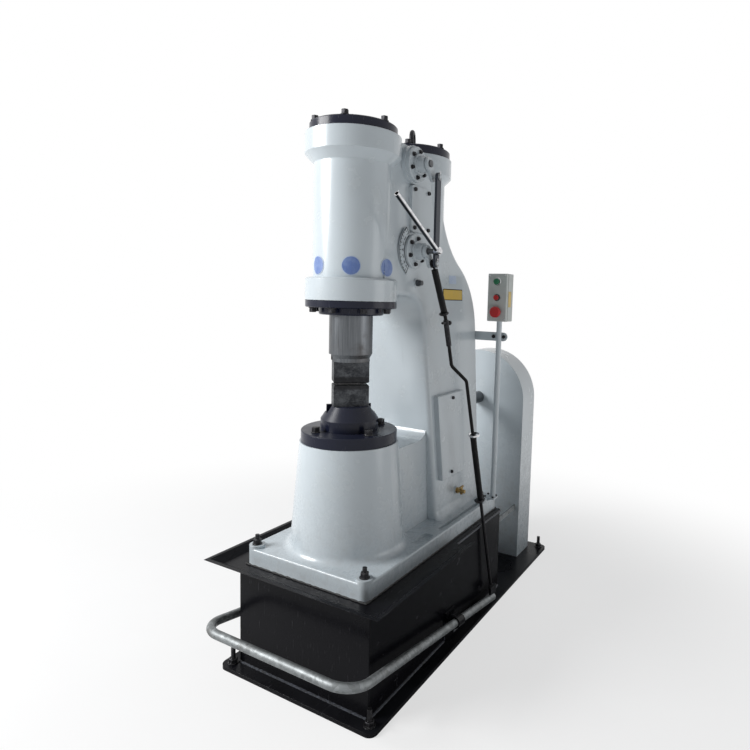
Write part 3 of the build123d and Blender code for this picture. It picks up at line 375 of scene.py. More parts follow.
def galvanised_pipe(colours):
    """Hot dip zinc: dull grey crystals, darker where feet rub it."""
    base = tuple(colours.zinc)
    f = Finish("galvanised_pipe", Metallic=0.6)
    crystal = f.node("ShaderNodeSeparateColor", {}, {0: f.cells(95.0)}, 0)
    dirt = f.noise(14.0, 6.0, 0.7)
    colour = f.blend(crystal, shade(base, 0.72), shade(base, 1.22))
    colour = f.blend(f.band(dirt, 0.50, 0.74) * 0.7, colour, (0.085, 0.078, 0.070))
    rough = 0.40 + 0.22 * dirt
    return f.wear(Base_Color=colour, Roughness=rough, Normal=f.bump(f.noise(120.0, 3.0) + 0.5 * dirt, 0.0003))


def black_bolts():
    """Oil blackened heads and nuts, brighter on their corners."""
    f = Finish("black_bolts", Metallic=0.85)
    grime = f.noise(130.0, 4.0, 0.6)
    soft = f.rounded(0.0009)
    worn = f.band(f.edges(soft), 0.02, 0.22)
    colour = f.blend(f.band(grime, 0.35, 0.7), (0.012, 0.012, 0.014), (0.036, 0.036, 0.039))
    colour = f.blend(worn * 0.6, colour, (0.22, 0.22, 0.225))
    return f.wear(Base_Color=colour, Roughness=0.34 + 0.22 * grime, Normal=f.bump(grime, 0.0001, soft))


def bright_chrome():
    f = Finish("bright_chrome", Metallic=1.0)
    smudge = f.noise(60.0, 4.0, 0.6)
    colour = f.blend(f.band(smudge, 0.4, 0.75), (0.70, 0.70, 0.71), (0.46, 0.46, 0.48))
    # Painted reflection: darker where the surface faces down, standing in for a dark surround seen in the
    # chrome.
    colour = f.blend(f.band(0 - f.upward(), 0.30, 0.75), colour, (0.055, 0.060, 0.070))
    return f.wear(Base_Color=colour, Roughness=0.07 + 0.14 * f.band(smudge, 0.45, 0.8),
                  Normal=f.rounded(0.0007))


def tarnished_brass():
    f = Finish("tarnished_brass", Metallic=1.0)
    age = f.noise(90.0, 5.0, 0.65)
    colour = f.blend(f.band(age, 0.35, 0.68), (0.40, 0.28, 0.11), (0.17, 0.11, 0.045))
    pits = f.bump(age, 0.0001, f.rounded(0.0006))
    return f.wear(Base_Color=colour, Roughness=0.26 + 0.25 * age, Normal=pits)


def powder_coat():
    """Fine pebbled coat of the button box."""
    f = Finish("powder_coat")
    dirt = f.noise(24.0, 4.0, 0.6)
    colour = f.blend(f.band(dirt, 0.45, 0.75) * 0.5, (0.50, 0.53, 0.515), (0.38, 0.40, 0.39))
    return f.wear(Base_Color=colour, Roughness=0.42 + 0.12 * dirt,
                  Normal=f.bump(f.noise(900.0, 2.0), 0.00012, f.rounded(0.0012)))


def moulded(name, colour, rough=0.28):
    """Moulded plastic with fine handling marks."""
    f = Finish(name, Specular_IOR_Level=0.5)
    marks = f.noise(260.0, 4.0, 0.7)
    tone = f.blend(f.band(marks, 0.45, 0.7) * 0.5, colour, shade(colour, 0.72))
    fine = f.bump(marks, 0.00004, f.rounded(0.0008))
    return f.wear(Base_Color=tone, Roughness=rough + 0.15 * marks, Normal=fine)


def printed_film(name, colour, faded):
    """Thin label film, a little faded and lifted."""
    f = Finish(name, Coat_Weight=0.25, Coat_Roughness=0.15)
    fade = f.noise(30.0, 4.0, 0.6)
    tone = f.blend(f.band(fade, 0.4, 0.7), colour, faded)
    return f.wear(Base_Color=tone, Roughness=0.30 + 0.2 * fade, Normal=f.bump(f.noise(26.0, 2.0), 0.00025))


def weld_metal():
    """Weld bead painted over with the stand, with slag texture and painted bluish glints."""
    f = Finish("weld_metal", Specular_IOR_Level=0.45)
    slag_and_painted_glint = f.noise(160.0, 5.0, 0.7)
    # Partly painted highlight: the lighter bluish patches of this noise stand in for glints on the bead, the
    # rest is slag texture.
    tone = f.blend(f.band(slag_and_painted_glint, 0.4, 0.7), (0.008, 0.009, 0.012), (0.070, 0.080, 0.105))
    return f.wear(Base_Color=tone, Roughness=0.30 + 0.3 * slag_and_painted_glint, Normal=f.bump(slag_and_painted_glint, 0.0004))


finishes = {}


class HAMMER_OT_finishes(bpy.types.Operator):
    """Give every carried-over solid its finish"""

    bl_idname = "hammer.finishes"
    bl_label = "Paint and metal"

    def execute(self, context):
        colours = context.scene.hammer_colours
        stand = tuple(colours.stand_paint)
        finishes.update({
            "enamel": grey_enamel(colours),
            "stand": black_enamel("stand_enamel", stand, 0.16),
            "cap": black_enamel("cap_enamel", tuple(colours.cap_paint), 0.17, 0.24),
            "sleeve": black_enamel("sleeve_enamel", (0.010, 0.010, 0.011), 0.34),
            "bar": black_enamel("bar_enamel", (0.030, 0.036, 0.050), 0.26, 0.30),
            "steel": turned_steel(),
            "die": forged_steel(),
            "zinc": galvanised_pipe(colours),
            "bolt": black_bolts(),
            "chrome": bright_chrome(),
            "brass": tarnished_brass(),
            "box": powder_coat(),
            "green": moulded("green_plastic", (0.012, 0.16, 0.07)),
            "red": moulded("red_plastic", (0.50, 0.012, 0.015)),
            "rubber": moulded("black_sealant", (0.010, 0.010, 0.010), 0.55),
            "weld": weld_metal(),
            "blue": printed_film("blue_film", tuple(colours.disc_blue), (0.16, 0.24, 0.46)),
            "pale": printed_film("pale_film", (0.38, 0.46, 0.60), (0.46, 0.53, 0.62)),
            "yellow": printed_film("yellow_film", tuple(colours.plate_yellow), (0.50, 0.36, 0.09)),
            "ink": black_enamel("dark_ink", (0.004, 0.004, 0.005), 0.55, 0.05),
        })
        worn = {
            "stand": ("base_plate", "stand_box", "drip_tray", "treadle_brackets", "treadle_collars",
                      "treadle_lug"),
            "cap": ("anvil_ring", "die_holder", "lower_die_key", "gland_ring", "gland",
                    "front_cylinder_cap", "rear_cylinder_cap"),
            "bolt": ("upper_die_key", "rod_clamp", "rod_lower", "anchor_bolts", "hold_down_bolts",
                     "ring_bolts", "gland_bolts", "front_cap_bolts", "rear_cap_bolts",
                     "valve_cover_bolts", "lifting_eyebolt"),
            "enamel": ("frame_casting", "left_valve_covers", "upper_valve_cover", "lower_valve_cover",
                       "port_cover", "side_cover", "pole_foot", "pole_bar", "control_pole", "belt_guard",
                       "crank_bearing", "valve_sector", "upper_valve_lever", "lower_valve_lever"),
            "steel": ("ram", "upper_valve_shaft", "lower_valve_shaft", "drive_shaft", "oil_cup"),
            "die": ("upper_die", "lower_die"),
            "chrome": ("hand_lever",),
            "bar": ("link_bar",),
            "sleeve": ("rod_upper_sleeve", "rod_crank", "rod_lower_sleeve"),
            "zinc": ("foot_treadle", "guard_strap"),
            "brass": ("drain_cock",),
            "box": ("control_box",),
            "green": ("start_button",),
            "red": ("stop_button", "emergency_button"),
        }
        for finish, nodes in worn.items():
            for node in nodes:
                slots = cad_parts[node].data.materials
                slots.clear()
                slots.append(finishes[finish])
        return {"FINISHED"}


def ring_of(bm, place, radius, height, steps):
    """Ring of vertices about a place's own Z."""
    return [bm.verts.new(place @ Vector((
        radius * math.cos(math.tau * i / steps), radius * math.sin(math.tau * i / steps), height)))
        for i in range(steps)]


def skin(bm, rings, looped=False):
    """Faces between rings of vertices, capped at both ends or looped back to the first ring."""
    following = rings[1:] + rings[:1] if looped else rings[1:]
    for low, high in zip(rings, following):
        for i in range(len(low)):
            j = (i + 1) % len(low)
            bm.faces.new((low[i], low[j], high[j], high[i]))
    if not looped:
        bm.faces.new(list(reversed(rings[0])))
        bm.faces.new(rings[-1])


def lathe(bm, place, profile, steps=32):
    """Turned solid from (radius, height) pairs, closed at both ends."""
    skin(bm, [ring_of(bm, place, r, h, steps) for r, h in profile])


def turned_ring(bm, place, outline, steps=48):
    """Ring turned from a closed outline of (radius, height) pairs."""
    skin(bm, [ring_of(bm, place, r, h, steps) for r, h in outline], True)


def slab(bm, place, outline, low, high, inset=0.0):
    """Plate with an outline in a place's own XY, its upper edge eased by an inset."""
    centre = Vector((sum(p[0] for p in outline), sum(p[1] for p in outline))) / len(outline)
    rings = []
    for height, grow in ((low, 0.0), (high - inset, 0.0), (high, inset)):
        ring = []
        for p in outline:
            away = Vector(p) - centre
            q = Vector(p) - away.normalized() * grow
            ring.append(bm.verts.new(place @ Vector((q.x, q.y, height))))
        rings.append(ring)
    skin(bm, rings)


def rounded_outline(width, tall, radius, steps=6):
    """Rectangle with round corners, centred."""
    points = []
    for k, (sx, sy) in enumerate(((1, 1), (-1, 1), (-1, -1), (1, -1))):
        for i in range(steps + 1):
            angle = math.radians(90 * k + 90 * i / steps)
            points.append((sx * (width / 2 - radius) + radius * math.cos(angle),
                           sy * (tall / 2 - radius) + radius * math.sin(angle)))
    return points


def shaped_ring(bm, place, reach, height, steps):
    """Ring of vertices whose distance from the middle follows a function of the angle."""
    ring = []
    for i in range(steps):
        angle = math.tau * i / steps
        r = reach(i, angle)
        ring.append(bm.verts.new(place @ Vector((r * math.cos(angle), r * math.sin(angle), height))))
    return ring


def socket_screw(bm, place, radius, tall):
    """Cap screw with a hexagon socket and a knurled rim."""
    steps = 30

    def knurl(i, angle):
        return radius * (0.965 if i % 2 else 1.0)

    def socket(i, angle):
        return hex_reach(angle, radius * 0.52)

    skin(bm, [
        ring_of(bm, place, radius * 0.94, 0.0, steps),
        shaped_ring(bm, place, knurl, tall * 0.15, steps),
        shaped_ring(bm, place, knurl, tall * 0.85, steps),
        ring_of(bm, place, radius * 0.88, tall, steps),
        shaped_ring(bm, place, socket, tall, steps),
        shaped_ring(bm, place, socket, tall * 0.35, steps),
    ])


def hex_reach(angle, flat_half):
    """Distance from the middle of a hexagon to its side at an angle."""
    part = (angle + math.pi / 6) % (math.pi / 3) - math.pi / 6
    return flat_half / math.cos(part)


def hex_nut(bm, place, flat, tall):
    """Nut or head with six flats and a turned chamfer."""
    half = flat / 2

    def body(i, angle):
        return min(hex_reach(angle, half), half * 1.155)

    def chamfer(i, angle):
        return min(hex_reach(angle, half), half * 1.155 * 0.95, half * 0.99)

    levels = ((0.0, chamfer), (tall * 0.10, body), (tall * 0.88, body), (tall, chamfer))
    skin(bm, [shaped_ring(bm, place, reach, height, 36) for height, reach in levels])


def thread(bm, place, radius, length, pitch, steps=20):
    """Screw thread that runs up a stud."""
    rows = max(2, round(length / pitch)) * 6
    depth = pitch * 0.5
    rings = []
    for k in range(rows + 1):
        height = length * k / rows
        fade = min(1.0, (length - height) / pitch)

        def crest(i, angle, height=height, fade=fade):
            phase = (height / pitch - i / steps) % 1.0
            groove = 1 - abs(2 * phase - 1)
            return radius + 0.0002 - depth * groove * fade - (1 - fade) * depth

        rings.append(shaped_ring(bm, place, crest, height, steps))
    skin(bm, rings)


def frames_along(points, closed=False):
    """Matrix at each point of a path, with its own Z along the path."""
    places = []
    count = len(points)
    for i, p in enumerate(points):
        before = points[i - 1] if closed or i else points[i]
        after = points[(i + 1) % count] if closed or i < count - 1 else points[i]
        along = (Vector(after) - Vector(before)).normalized()
        side = along.orthogonal() if abs(along.z) > 0.9 else along.cross(Vector((0, 0, 1)))
        side.normalize()
        other = along.cross(side)
        turn = Matrix((side, other, along)).transposed().to_4x4()
        places.append(Matrix.Translation(p) @ turn)
    return places


def bead(bm, points, radius, ripple, closed=False, steps=10):
    """Bead laid along a path: ripples for a weld, lumps for sealant."""
    places = frames_along(points, closed)
    rings = []
    for k, place in enumerate(places):
        r = radius * (1 + ripple * math.sin(k * 2.1) + ripple * random.uniform(-0.6, 0.6))
        ring = []
        for i in range(steps):
            angle = math.tau * i / steps
            ring.append(bm.verts.new(place @ Vector((r * math.cos(angle), r * math.sin(angle), 0))))
        rings.append(ring)
    skin(bm, rings, closed)


def divided(corners, step, closed=False):
    """Points along straight runs between corners."""
    ends = corners + corners[:1] if closed else corners
    points = []
    for a, b in zip(ends, ends[1:]):
        a, b = Vector(a), Vector(b)
        count = max(1, round((b - a).length / step))
        points += [a.lerp(b, i / count) for i in range(count)]
    if not closed:
        points.append(Vector(ends[-1]))
    return points


def piece(name, bm, body, finish, smooth_angle=35.0):
    """Finished object: closed mesh, smooth where it is round, riding on a body."""
    bmesh.ops.recalc_face_normals(bm, faces=bm.faces)
    mesh = bpy.data.meshes.new(name)
    limit = math.radians(smooth_angle)
    for edge in bm.edges:
        edge.smooth = len(edge.link_faces) == 2 and edge.calc_face_angle(0) < limit
    for face in bm.faces:
        face.smooth = True
    bm.to_mesh(mesh)
    bm.free()
    made = bpy.data.objects.new(name, mesh)
    bpy.context.scene.collection.objects.link(made)
    mesh.materials.append(finishes[finish])
    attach(made, body)
    return made


class HAMMER_OT_round_labels(bpy.types.Operator):
    """Three blank round labels laid on the casting's wall"""

    bl_idname = "hammer.round_labels"
    bl_label = "Round labels"

    def execute(self, context):
        radius = context.scene.hammer_sizes.label_radius
        for k, angle in enumerate((-19.3, 36.3, 96.5)):
            for name, grow, lift, finish in (("rim", 1.0, 0.0009, "pale"),
                                             ("field", 0.91, 0.0014, "blue")):
                bm = bmesh.new()
                self.curved_disc(bm, math.radians(angle), radius * grow, lift)
                piece(f"label_{name}_{k + 1}", bm, "machine", finish)
        return {"FINISHED"}

    @staticmethod
    def curved_disc(bm, turn, radius, lift, steps=72, rows=20):
        sunk = 0.0005

        def spot(r, a, height):
            around = turn + r * math.cos(a) / BARREL_R
            outward = Vector((math.sin(around), -math.cos(around), 0))
            start = outward * (BARREL_R + 0.05) + Vector((0, 0, LABEL_Z + r * math.sin(a)))
            return bm.verts.new(seat("frame_casting", start, -outward) + outward * height)

        rims = []
        for height, flip in ((lift, False), (-sunk, True)):
            hub = spot(0, 0, height)
            before = None
            for k in range(1, rows + 1):
                ring = [spot(radius * k / rows, math.tau * i / steps, height) for i in range(steps)]
                for i in range(steps):
                    j = (i + 1) % steps
                    inner = (before[i], before[j]) if before else (hub,)
                    face = (inner[0], ring[i], ring[j], *inner[1:])
                    bm.faces.new(tuple(reversed(face)) if flip else face)
                before = ring
            rims.append(before)
        front, back = rims
        for i in range(steps):
            j = (i + 1) % steps
            bm.faces.new((front[i], front[j], back[j], back[i]))


class HAMMER_OT_blank_plates(bpy.types.Operator):
    """Blank plate, strip and small label on the column, and a blank label on the button box"""

    bl_idname = "hammer.blank_plates"
    bl_label = "Blank plates"

    def execute(self, context):
        for name, y, z, width, tall, finish in (
            ("plate_rim", PLATE_Y, PLATE_Z, 0.150, 0.041, "ink"),
            ("small_label", 0.440, 1.2457, 0.056, 0.030, "pale"),
        ):
            bm = bmesh.new()
            slab(bm, on_column(y, z), rounded_outline(width, tall, 0.003), -0.0004, 0.0006)
            piece(name, bm, "machine", finish)
        bm = bmesh.new()
        slab(bm, on_column(PLATE_Y, PLATE_Z), rounded_outline(0.144, 0.035, 0.002), 0.0, 0.0009)
        piece("plate_field", bm, "machine", "yellow")
        low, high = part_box("control_box")
        bm = bmesh.new()
        slab(bm, at(high.x, (low.y + high.y) / 2, low.z + 0.085, RIGHT),
             rounded_outline(0.060, 0.026, 0.002), -0.0004, 0.0006)
        piece("box_label", bm, "machine", "yellow")
        return {"FINISHED"}


class HAMMER_OT_scale_marks(bpy.types.Operator):
    """Rim, ticks and plain numbers on the valve's scale plate"""

    bl_idname = "hammer.scale_marks"
    bl_label = "Scale marks"

    def execute(self, context):
        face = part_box("valve_sector")[1].x
        outer, inner = 0.0845, 0.0575
        half = 58.0
        bm = bmesh.new()
        place = at(face, VALVE_Y, LOWER_VALVE_Z, RIGHT)
        for radius in (outer, inner):
            self.arc(bm, place, radius - 0.0011, radius + 0.0011, -half, half)
        for side in (-half, half):
            self.arc(bm, place, inner, outer, side - 0.9, side + 0.9, 2)
        for k in range(-6, 7):
            long = k % 2 == 0
            self.arc(bm, place, outer - (0.010 if long else 0.006), outer, k * 8.4 - 0.65, k * 8.4 + 0.65, 2)
        piece("scale_marks", bm, "machine", "ink")
        for k in range(-3, 4):
            self.number(str(k + 4), place, inner + 0.0085, k * 16.8)
        return {"FINISHED"}

    @staticmethod
    def arc(bm, place, inner, outer, start, end, steps=28):
        """Flat raised arc, about the direction toward the front."""
        def spot(radius, degrees, height):
            a = math.radians(degrees)
            return bm.verts.new(place @ Vector((radius * math.sin(a), -radius * math.cos(a), height)))
        rows = []
        for i in range(steps):
            d = start + (end - start) * i / (steps - 1)
            rows.append([spot(inner, d, -0.0003), spot(inner, d, 0.0004), spot(outer, d, 0.0004),
                         spot(outer, d, -0.0003)])
        for a, b in zip(rows, rows[1:]):
            for i in range(4):
                j = (i + 1) % 4
                bm.faces.new((a[i], a[j], b[j], b[i]))
        bm.faces.new(rows[0])
        bm.faces.new(list(reversed(rows[-1])))

    @staticmethod
    def number(text, place, radius, degrees):
        curve = bpy.data.curves.new(f"scale_number_{text}", "FONT")
        curve.body = text
        curve.size = 0.0150
        curve.extrude = 0.0003
        curve.align_x = "CENTER"
        curve.align_y = "CENTER"
        made = bpy.data.objects.new(f"scale_number_{text}", curve)
        bpy.context.scene.collection.objects.link(made)
        a = math.radians(degrees)
        spot = place @ Vector((radius * math.sin(a), -radius * math.cos(a), 0.0002))
        upright = Matrix.Rotation(math.radians(90), 4, "Z") @ Matrix.Rotation(math.radians(90), 4, "X")
        made.matrix_world = Matrix.Translation(spot) @ upright @ Matrix.Rotation(a, 4, "Z")
        curve.materials.append(finishes["ink"])
        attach(made, "machine")


class HAMMER_OT_stud_threads(bpy.types.Operator):
    """Threads on the anchor studs and the hold-down studs"""

    bl_idname = "hammer.stud_threads"
    bl_label = "Stud threads"

    def execute(self, context):
        pitch = context.scene.hammer_sizes.thread_pitch
        bm = bmesh.new()
        for node, washer, nut_top, radius in (("anchor_bolts", 0.017, 0.0275, 0.0070),
                                              ("hold_down_bolts", 0.015, 0.0165, 0.0065)):
            low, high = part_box(node)
            rise = high.z - low.z - nut_top - 0.0001
            for x in (low.x + washer, high.x - washer):
                for y in (low.y + washer, high.y - washer):
                    thread(bm, at(x, y, low.z + nut_top), radius, rise, pitch)
        piece("stud_threads", bm, "machine", "bolt")
        return {"FINISHED"}


class HAMMER_OT_weld_beads(bpy.types.Operator):
    """Fillet welds round the stand's foot, under the tray and beside the treadle brackets"""

    bl_idname = "hammer.weld_beads"
    bl_label = "Weld beads"

    def execute(self, context):
        leg = context.scene.hammer_sizes.weld_leg
        low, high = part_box("stand_box")
        bm = bmesh.new()
        for z in (low.z + 0.0005, high.z - 0.0005):
            corners = [(low.x, low.y, z), (high.x, low.y, z), (high.x, high.y, z), (low.x, high.y, z)]
            bead(bm, divided(corners, 0.006, True), leg, 0.16, True, 8)
        piece("stand_welds", bm, "machine", "weld")
        bracket_low, bracket_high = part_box("treadle_brackets")
        bm = bmesh.new()
        for x in (low.x - 0.001, high.x + 0.001):
            for y in (bracket_low.y, bracket_high.y):
                run = [(x, y, bracket_low.z + 0.004), (x, y, bracket_high.z - 0.032)]
                bead(bm, divided(run, 0.005), leg * 0.75, 0.18, False, 8)
        piece("bracket_welds", bm, "machine", "weld")
        return {"FINISHED"}


class HAMMER_OT_sealant(bpy.types.Operator):
    """Uneven black sealant between the plinth and the tray"""

    bl_idname = "hammer.sealant"
    bl_label = "Sealant"

    def execute(self, context):
        radius = context.scene.hammer_sizes.sealant_radius
        low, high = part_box("frame_casting")
        tuck = 0.001
        x, front, z = high.x - tuck, low.y + tuck, low.z + 1.5 * tuck
        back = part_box("drip_tray")[1].y - tuck
        bm = bmesh.new()
        corners = [(-x, back, z), (-x, front, z), (x, front, z), (x, back, z)]
        bead(bm, divided(corners, 0.009), radius, 0.28, False, 8)
        piece("plinth_sealant", bm, "machine", "rubber")
        return {"FINISHED"}


class HAMMER_OT_cover_screws(bpy.types.Operator):
    """Black cap screws of the port cover and the access cover, and nuts of the stay bar"""

    bl_idname = "hammer.cover_screws"
    bl_label = "Cover screws"

    def execute(self, context):
        bm = bmesh.new()
        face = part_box("port_cover")[1].x
        for y in (0.160, 0.246):
            for z in (1.4015, 1.5225):
                socket_screw(bm, at(face, y, z, RIGHT), 0.0066, 0.0065)
        piece("port_screws", bm, "machine", "bolt")
        bm = bmesh.new()
        cover_thick = 0.018
        for y, z in ((0.400, 0.8173), (0.384, 0.5484)):
            socket_screw(bm, on_column(y, z, cover_thick), 0.0062, 0.006)
        piece("access_screws", bm, "machine", "bolt")
        bm = bmesh.new()
        low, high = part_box("pole_bar")
        for x in (0.206, 0.249):
            hex_nut(bm, at(x, low.y, (low.z + high.z) / 2, FRONT), 0.013, 0.006)
        piece("bar_nuts", bm, "machine", "bolt")
        return {"FINISHED"}


def seat(node, start, way):
    """Spot where a line first meets a solid."""
    graph = bpy.context.evaluated_depsgraph_get()
    met, spot, _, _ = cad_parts[node].ray_cast(Vector(start), Vector(way), depsgraph=graph)
    if not met:
        raise RuntimeError(f"the line misses {node}")
    return spot


def ends_of(node):
    """Middle of the low end and of the high end of a long round solid, and its radius."""
    spots = [v.co.copy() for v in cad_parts[node].data.vertices]
    low = min(spots, key=lambda v: v.z)
    high = max(spots, key=lambda v: v.z)
    for _ in range(3):
        axis = (high - low).normalized()
        reach = [v.dot(axis) for v in spots]
        low_ring = [v for v, r in zip(spots, reach) if r < min(reach) + 0.0006]
        high_ring = [v for v, r in zip(spots, reach) if r > max(reach) - 0.0006]
        low = sum(low_ring, Vector()) / len(low_ring)
        high = sum(high_ring, Vector()) / len(high_ring)
    radius = max((v - low).cross(axis).length for v in spots)
    return low, high, radius


def pointing(spot, way):
    """Place at a spot with its own Z along a way."""
    return Matrix.Translation(spot) @ Vector(way).to_track_quat("Z", "Y").to_matrix().to_4x4()


class HAMMER_OT_gaskets(bpy.types.Operator):
    """Dark joint lines under the caps and the gland ring"""

    bl_idname = "hammer.gaskets"
    bl_label = "Gaskets"

    def execute(self, context):
        bm = bmesh.new()
        for node, top in (("front_cylinder_cap", False), ("rear_cylinder_cap", False), ("gland_ring", True)):
            low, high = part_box(node)
            centre = (low + high) / 2
            radius = (high.x - low.x) / 2
            z = high.z if top else low.z
            outline = [(radius - 0.004, -0.0011), (radius + 0.0002, -0.0009), (radius + 0.0006, 0.0),
                       (radius + 0.0002, 0.0009), (radius - 0.004, 0.0011)]
            turned_ring(bm, at(0, centre.y, z), outline, 96)
        piece("joint_gaskets", bm, "machine", "rubber")
        return {"FINISHED"}


class HAMMER_OT_eyebolt(bpy.types.Operator):
    """Smooth forged lifting eye"""

    bl_idname = "hammer.eyebolt"
    bl_label = "Lifting eye"

    def execute(self, context):
        low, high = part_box("lifting_eyebolt")
        bar = 0.008
        ring = (high.y - low.y) / 2 - bar
        middle = Vector((0, (low.y + high.y) / 2, high.z - ring - bar))
        upright = Matrix.Rotation(math.radians(24), 4, "Z") @ RIGHT
        bm = bmesh.new()
        sides = 20
        outline = [(ring + bar * math.cos(math.tau * i / sides), bar * math.sin(math.tau * i / sides))
                   for i in range(sides)]
        turned_ring(bm, Matrix.Translation(middle) @ upright, outline, 64)
        rise = middle.z - ring - low.z
        collar = [(0.0185, 0.0), (0.0200, 0.0015), (0.0200, 0.0075), (0.0180, 0.0095)]
        neck = [(0.0135, 0.0108), (0.0112, 0.0135), (0.0105, rise + 0.001)]
        lathe(bm, at(0, middle.y, low.z), collar + neck, 40)
        made = piece("lifting_eye", bm, "machine", "bolt", 50.0)
        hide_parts("lifting_eyebolt")
        return {"FINISHED"}


class HAMMER_OT_pin_ends(bpy.types.Operator):
    """Washers and split pins of the link's two pins, and the hand lever's end cap"""

    bl_idname = "hammer.pin_ends"
    bl_label = "Pin ends"

    def execute(self, context):
        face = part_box("link_bar")[1].x
        eye = 0.015
        for body in ("lower_valve", "upper_valve"):
            low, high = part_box(f"{body}_lever")
            y = high.y - eye
            z = low.z + eye
            bm = bmesh.new()
            turned_ring(bm, at(face, y, z, RIGHT), [(0.0050, 0.0004), (0.0100, 0.0004), (0.0104, 0.0008),
                                                    (0.0100, 0.0018), (0.0050, 0.0018)], 32)
            piece(f"{body}_washer", bm, body, "zinc")
            bm = bmesh.new()
            x = high.x - 0.0012
            leg = [Vector((x, y, z + 0.0105)), Vector((x, y, z)), Vector((x, y, z - 0.0090)),
                   Vector((x + 0.0012, y, z - 0.0120))]
            bead(bm, leg, 0.0009, 0.0, False, 8)
            turned_ring(bm, at(x, y, z + 0.0128, RIGHT), [(0.0016, -0.0007), (0.0032, -0.0007),
                                                          (0.0032, 0.0007), (0.0016, 0.0007)], 20)
            piece(f"{body}_split_pin", bm, body, "chrome")
        bm = bmesh.new()
        lathe(bm, at(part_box("hand_lever")[1].x, VALVE_Y, LOWER_VALVE_Z, RIGHT),
              [(0.0092, -0.0005), (0.0096, 0.0004), (0.0096, 0.0030), (0.0080, 0.0048), (0.0040, 0.0056)], 36)
        piece("lever_end_cap", bm, "lower_valve", "chrome")
        return {"FINISHED"}


class HAMMER_OT_rod_nuts(bpy.types.Operator):
    """Jam nuts under the rod's two sleeves and the bright ring on the lower one"""

    bl_idname = "hammer.rod_nuts"
    bl_label = "Rod nuts"

    def execute(self, context):
        bm = bmesh.new()
        for node in ("rod_lower_sleeve", "rod_upper_sleeve"):
            low, high, radius = ends_of(node)
            hex_nut(bm, pointing(low, low - high), radius * 1.7, 0.007)
        piece("rod_jam_nuts", bm, "rod", "bolt")
        low, high, radius = ends_of("rod_lower_sleeve")
        bm = bmesh.new()
        turned_ring(bm, pointing(high, high - low),
                    [(radius - 0.0006, -0.0075), (radius + 0.0010, -0.0070),
                     (radius + 0.0010, -0.0006), (radius - 0.0006, -0.0001)], 36)
        piece("rod_sleeve_ring", bm, "rod", "chrome")
        return {"FINISHED"}


class HAMMER_OT_housing_bolts(bpy.types.Operator):
    """Bolts of the crank bearing, the pole's foot, the left valve covers and the die holder"""

    bl_idname = "hammer.housing_bolts"
    bl_label = "Housing bolts"

    def execute(self, context):
        low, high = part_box("crank_bearing")
        middle = (low.z + high.z) / 2
        ring = (high.x - low.x) / 2 - 0.013
        bm = bmesh.new()
        for k in range(6):
            a = math.radians(60 * k + 30)
            x, z = ring * math.cos(a), middle + ring * math.sin(a)
            spot = seat("crank_bearing", (x, high.y + 0.05, z), (0, -1, 0))
            hex_nut(bm, at(spot.x, spot.y - 0.0003, spot.z, BACK), 0.013, 0.008)
        piece("bearing_bolts", bm, "machine", "bolt")
        low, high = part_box("pole_foot")
        bm = bmesh.new()
        for x in (low.x + 0.0075, high.x - 0.0075):
            for y in (low.y + 0.0075, high.y - 0.0075):
                hex_nut(bm, at(x, y, high.z - 0.0002), 0.008, 0.0045)
        piece("foot_bolts", bm, "machine", "bolt")
        bm = bmesh.new()
        bm.from_mesh(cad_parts["valve_cover_bolts"].data)
        bmesh.ops.scale(bm, vec=(-1, 1, 1), verts=bm.verts)
        piece("left_cover_bolts", bm, "machine", "bolt")
        outward = Vector((0.875, 0.483, 0)).normalized()
        spot = seat("die_holder", outward * 0.2 + Vector((0, 0, 0.786)), -outward)
        bm = bmesh.new()
        place = pointing(spot, outward)
        lathe(bm, place, [(0.0062, -0.004), (0.0062, 0.0035)], 24)
        slab(bm, place, rounded_outline(0.0135, 0.0135, 0.0012, 3), 0.0035, 0.0130, 0.0010)
        piece("holder_screw", bm, "machine", "bolt")
        return {"FINISHED"}


class HAMMER_OT_box_trim(bpy.types.Operator):
    """Lid seam, lid screws and button rims of the control box"""

    bl_idname = "hammer.box_trim"
    bl_label = "Box trim"

    def execute(self, context):
        low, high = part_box("control_box")
        x, z = (low.x + high.x) / 2, (low.z + high.z) / 2
        face = low.y
        bm = bmesh.new()
        for sx in (-1, 1):
            for sz in (-1, 1):
                spot = (x + sx * 0.0315, face, z + sz * 0.0835)
                socket_screw(bm, at(*spot, FRONT), 0.0030, 0.0018)
        piece("lid_screws", bm, "machine", "chrome")
        bm = bmesh.new()
        around = rounded_outline(high.x - low.x, high.z - low.z, 0.0035, 3)
        seam = [Vector((x + u, face + 0.016, z + v)) for u, v in around]
        bead(bm, seam, 0.0007, 0.0, True, 6)
        piece("lid_seam", bm, "machine", "rubber")
        for node, finish, grow in (("start_button", "chrome", 0.0030), ("stop_button", "bolt", 0.0030),
                                   ("emergency_button", "bolt", -0.0040)):
            a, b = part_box(node)
            radius = (b.x - a.x) / 2
            inner = radius + 0.0006 if grow > 0 else radius * 0.62
            bm = bmesh.new()
            turned_ring(bm, at((a.x + b.x) / 2, face, (a.z + b.z) / 2, FRONT),
                        [(inner, -0.0004), (radius + grow, -0.0004), (radius + grow, 0.0020),
                         (radius + grow - 0.0012, 0.0032), (inner, 0.0032)], 40)
            piece(f"{node}_rim", bm, "machine", finish)
        return {"FINISHED"}


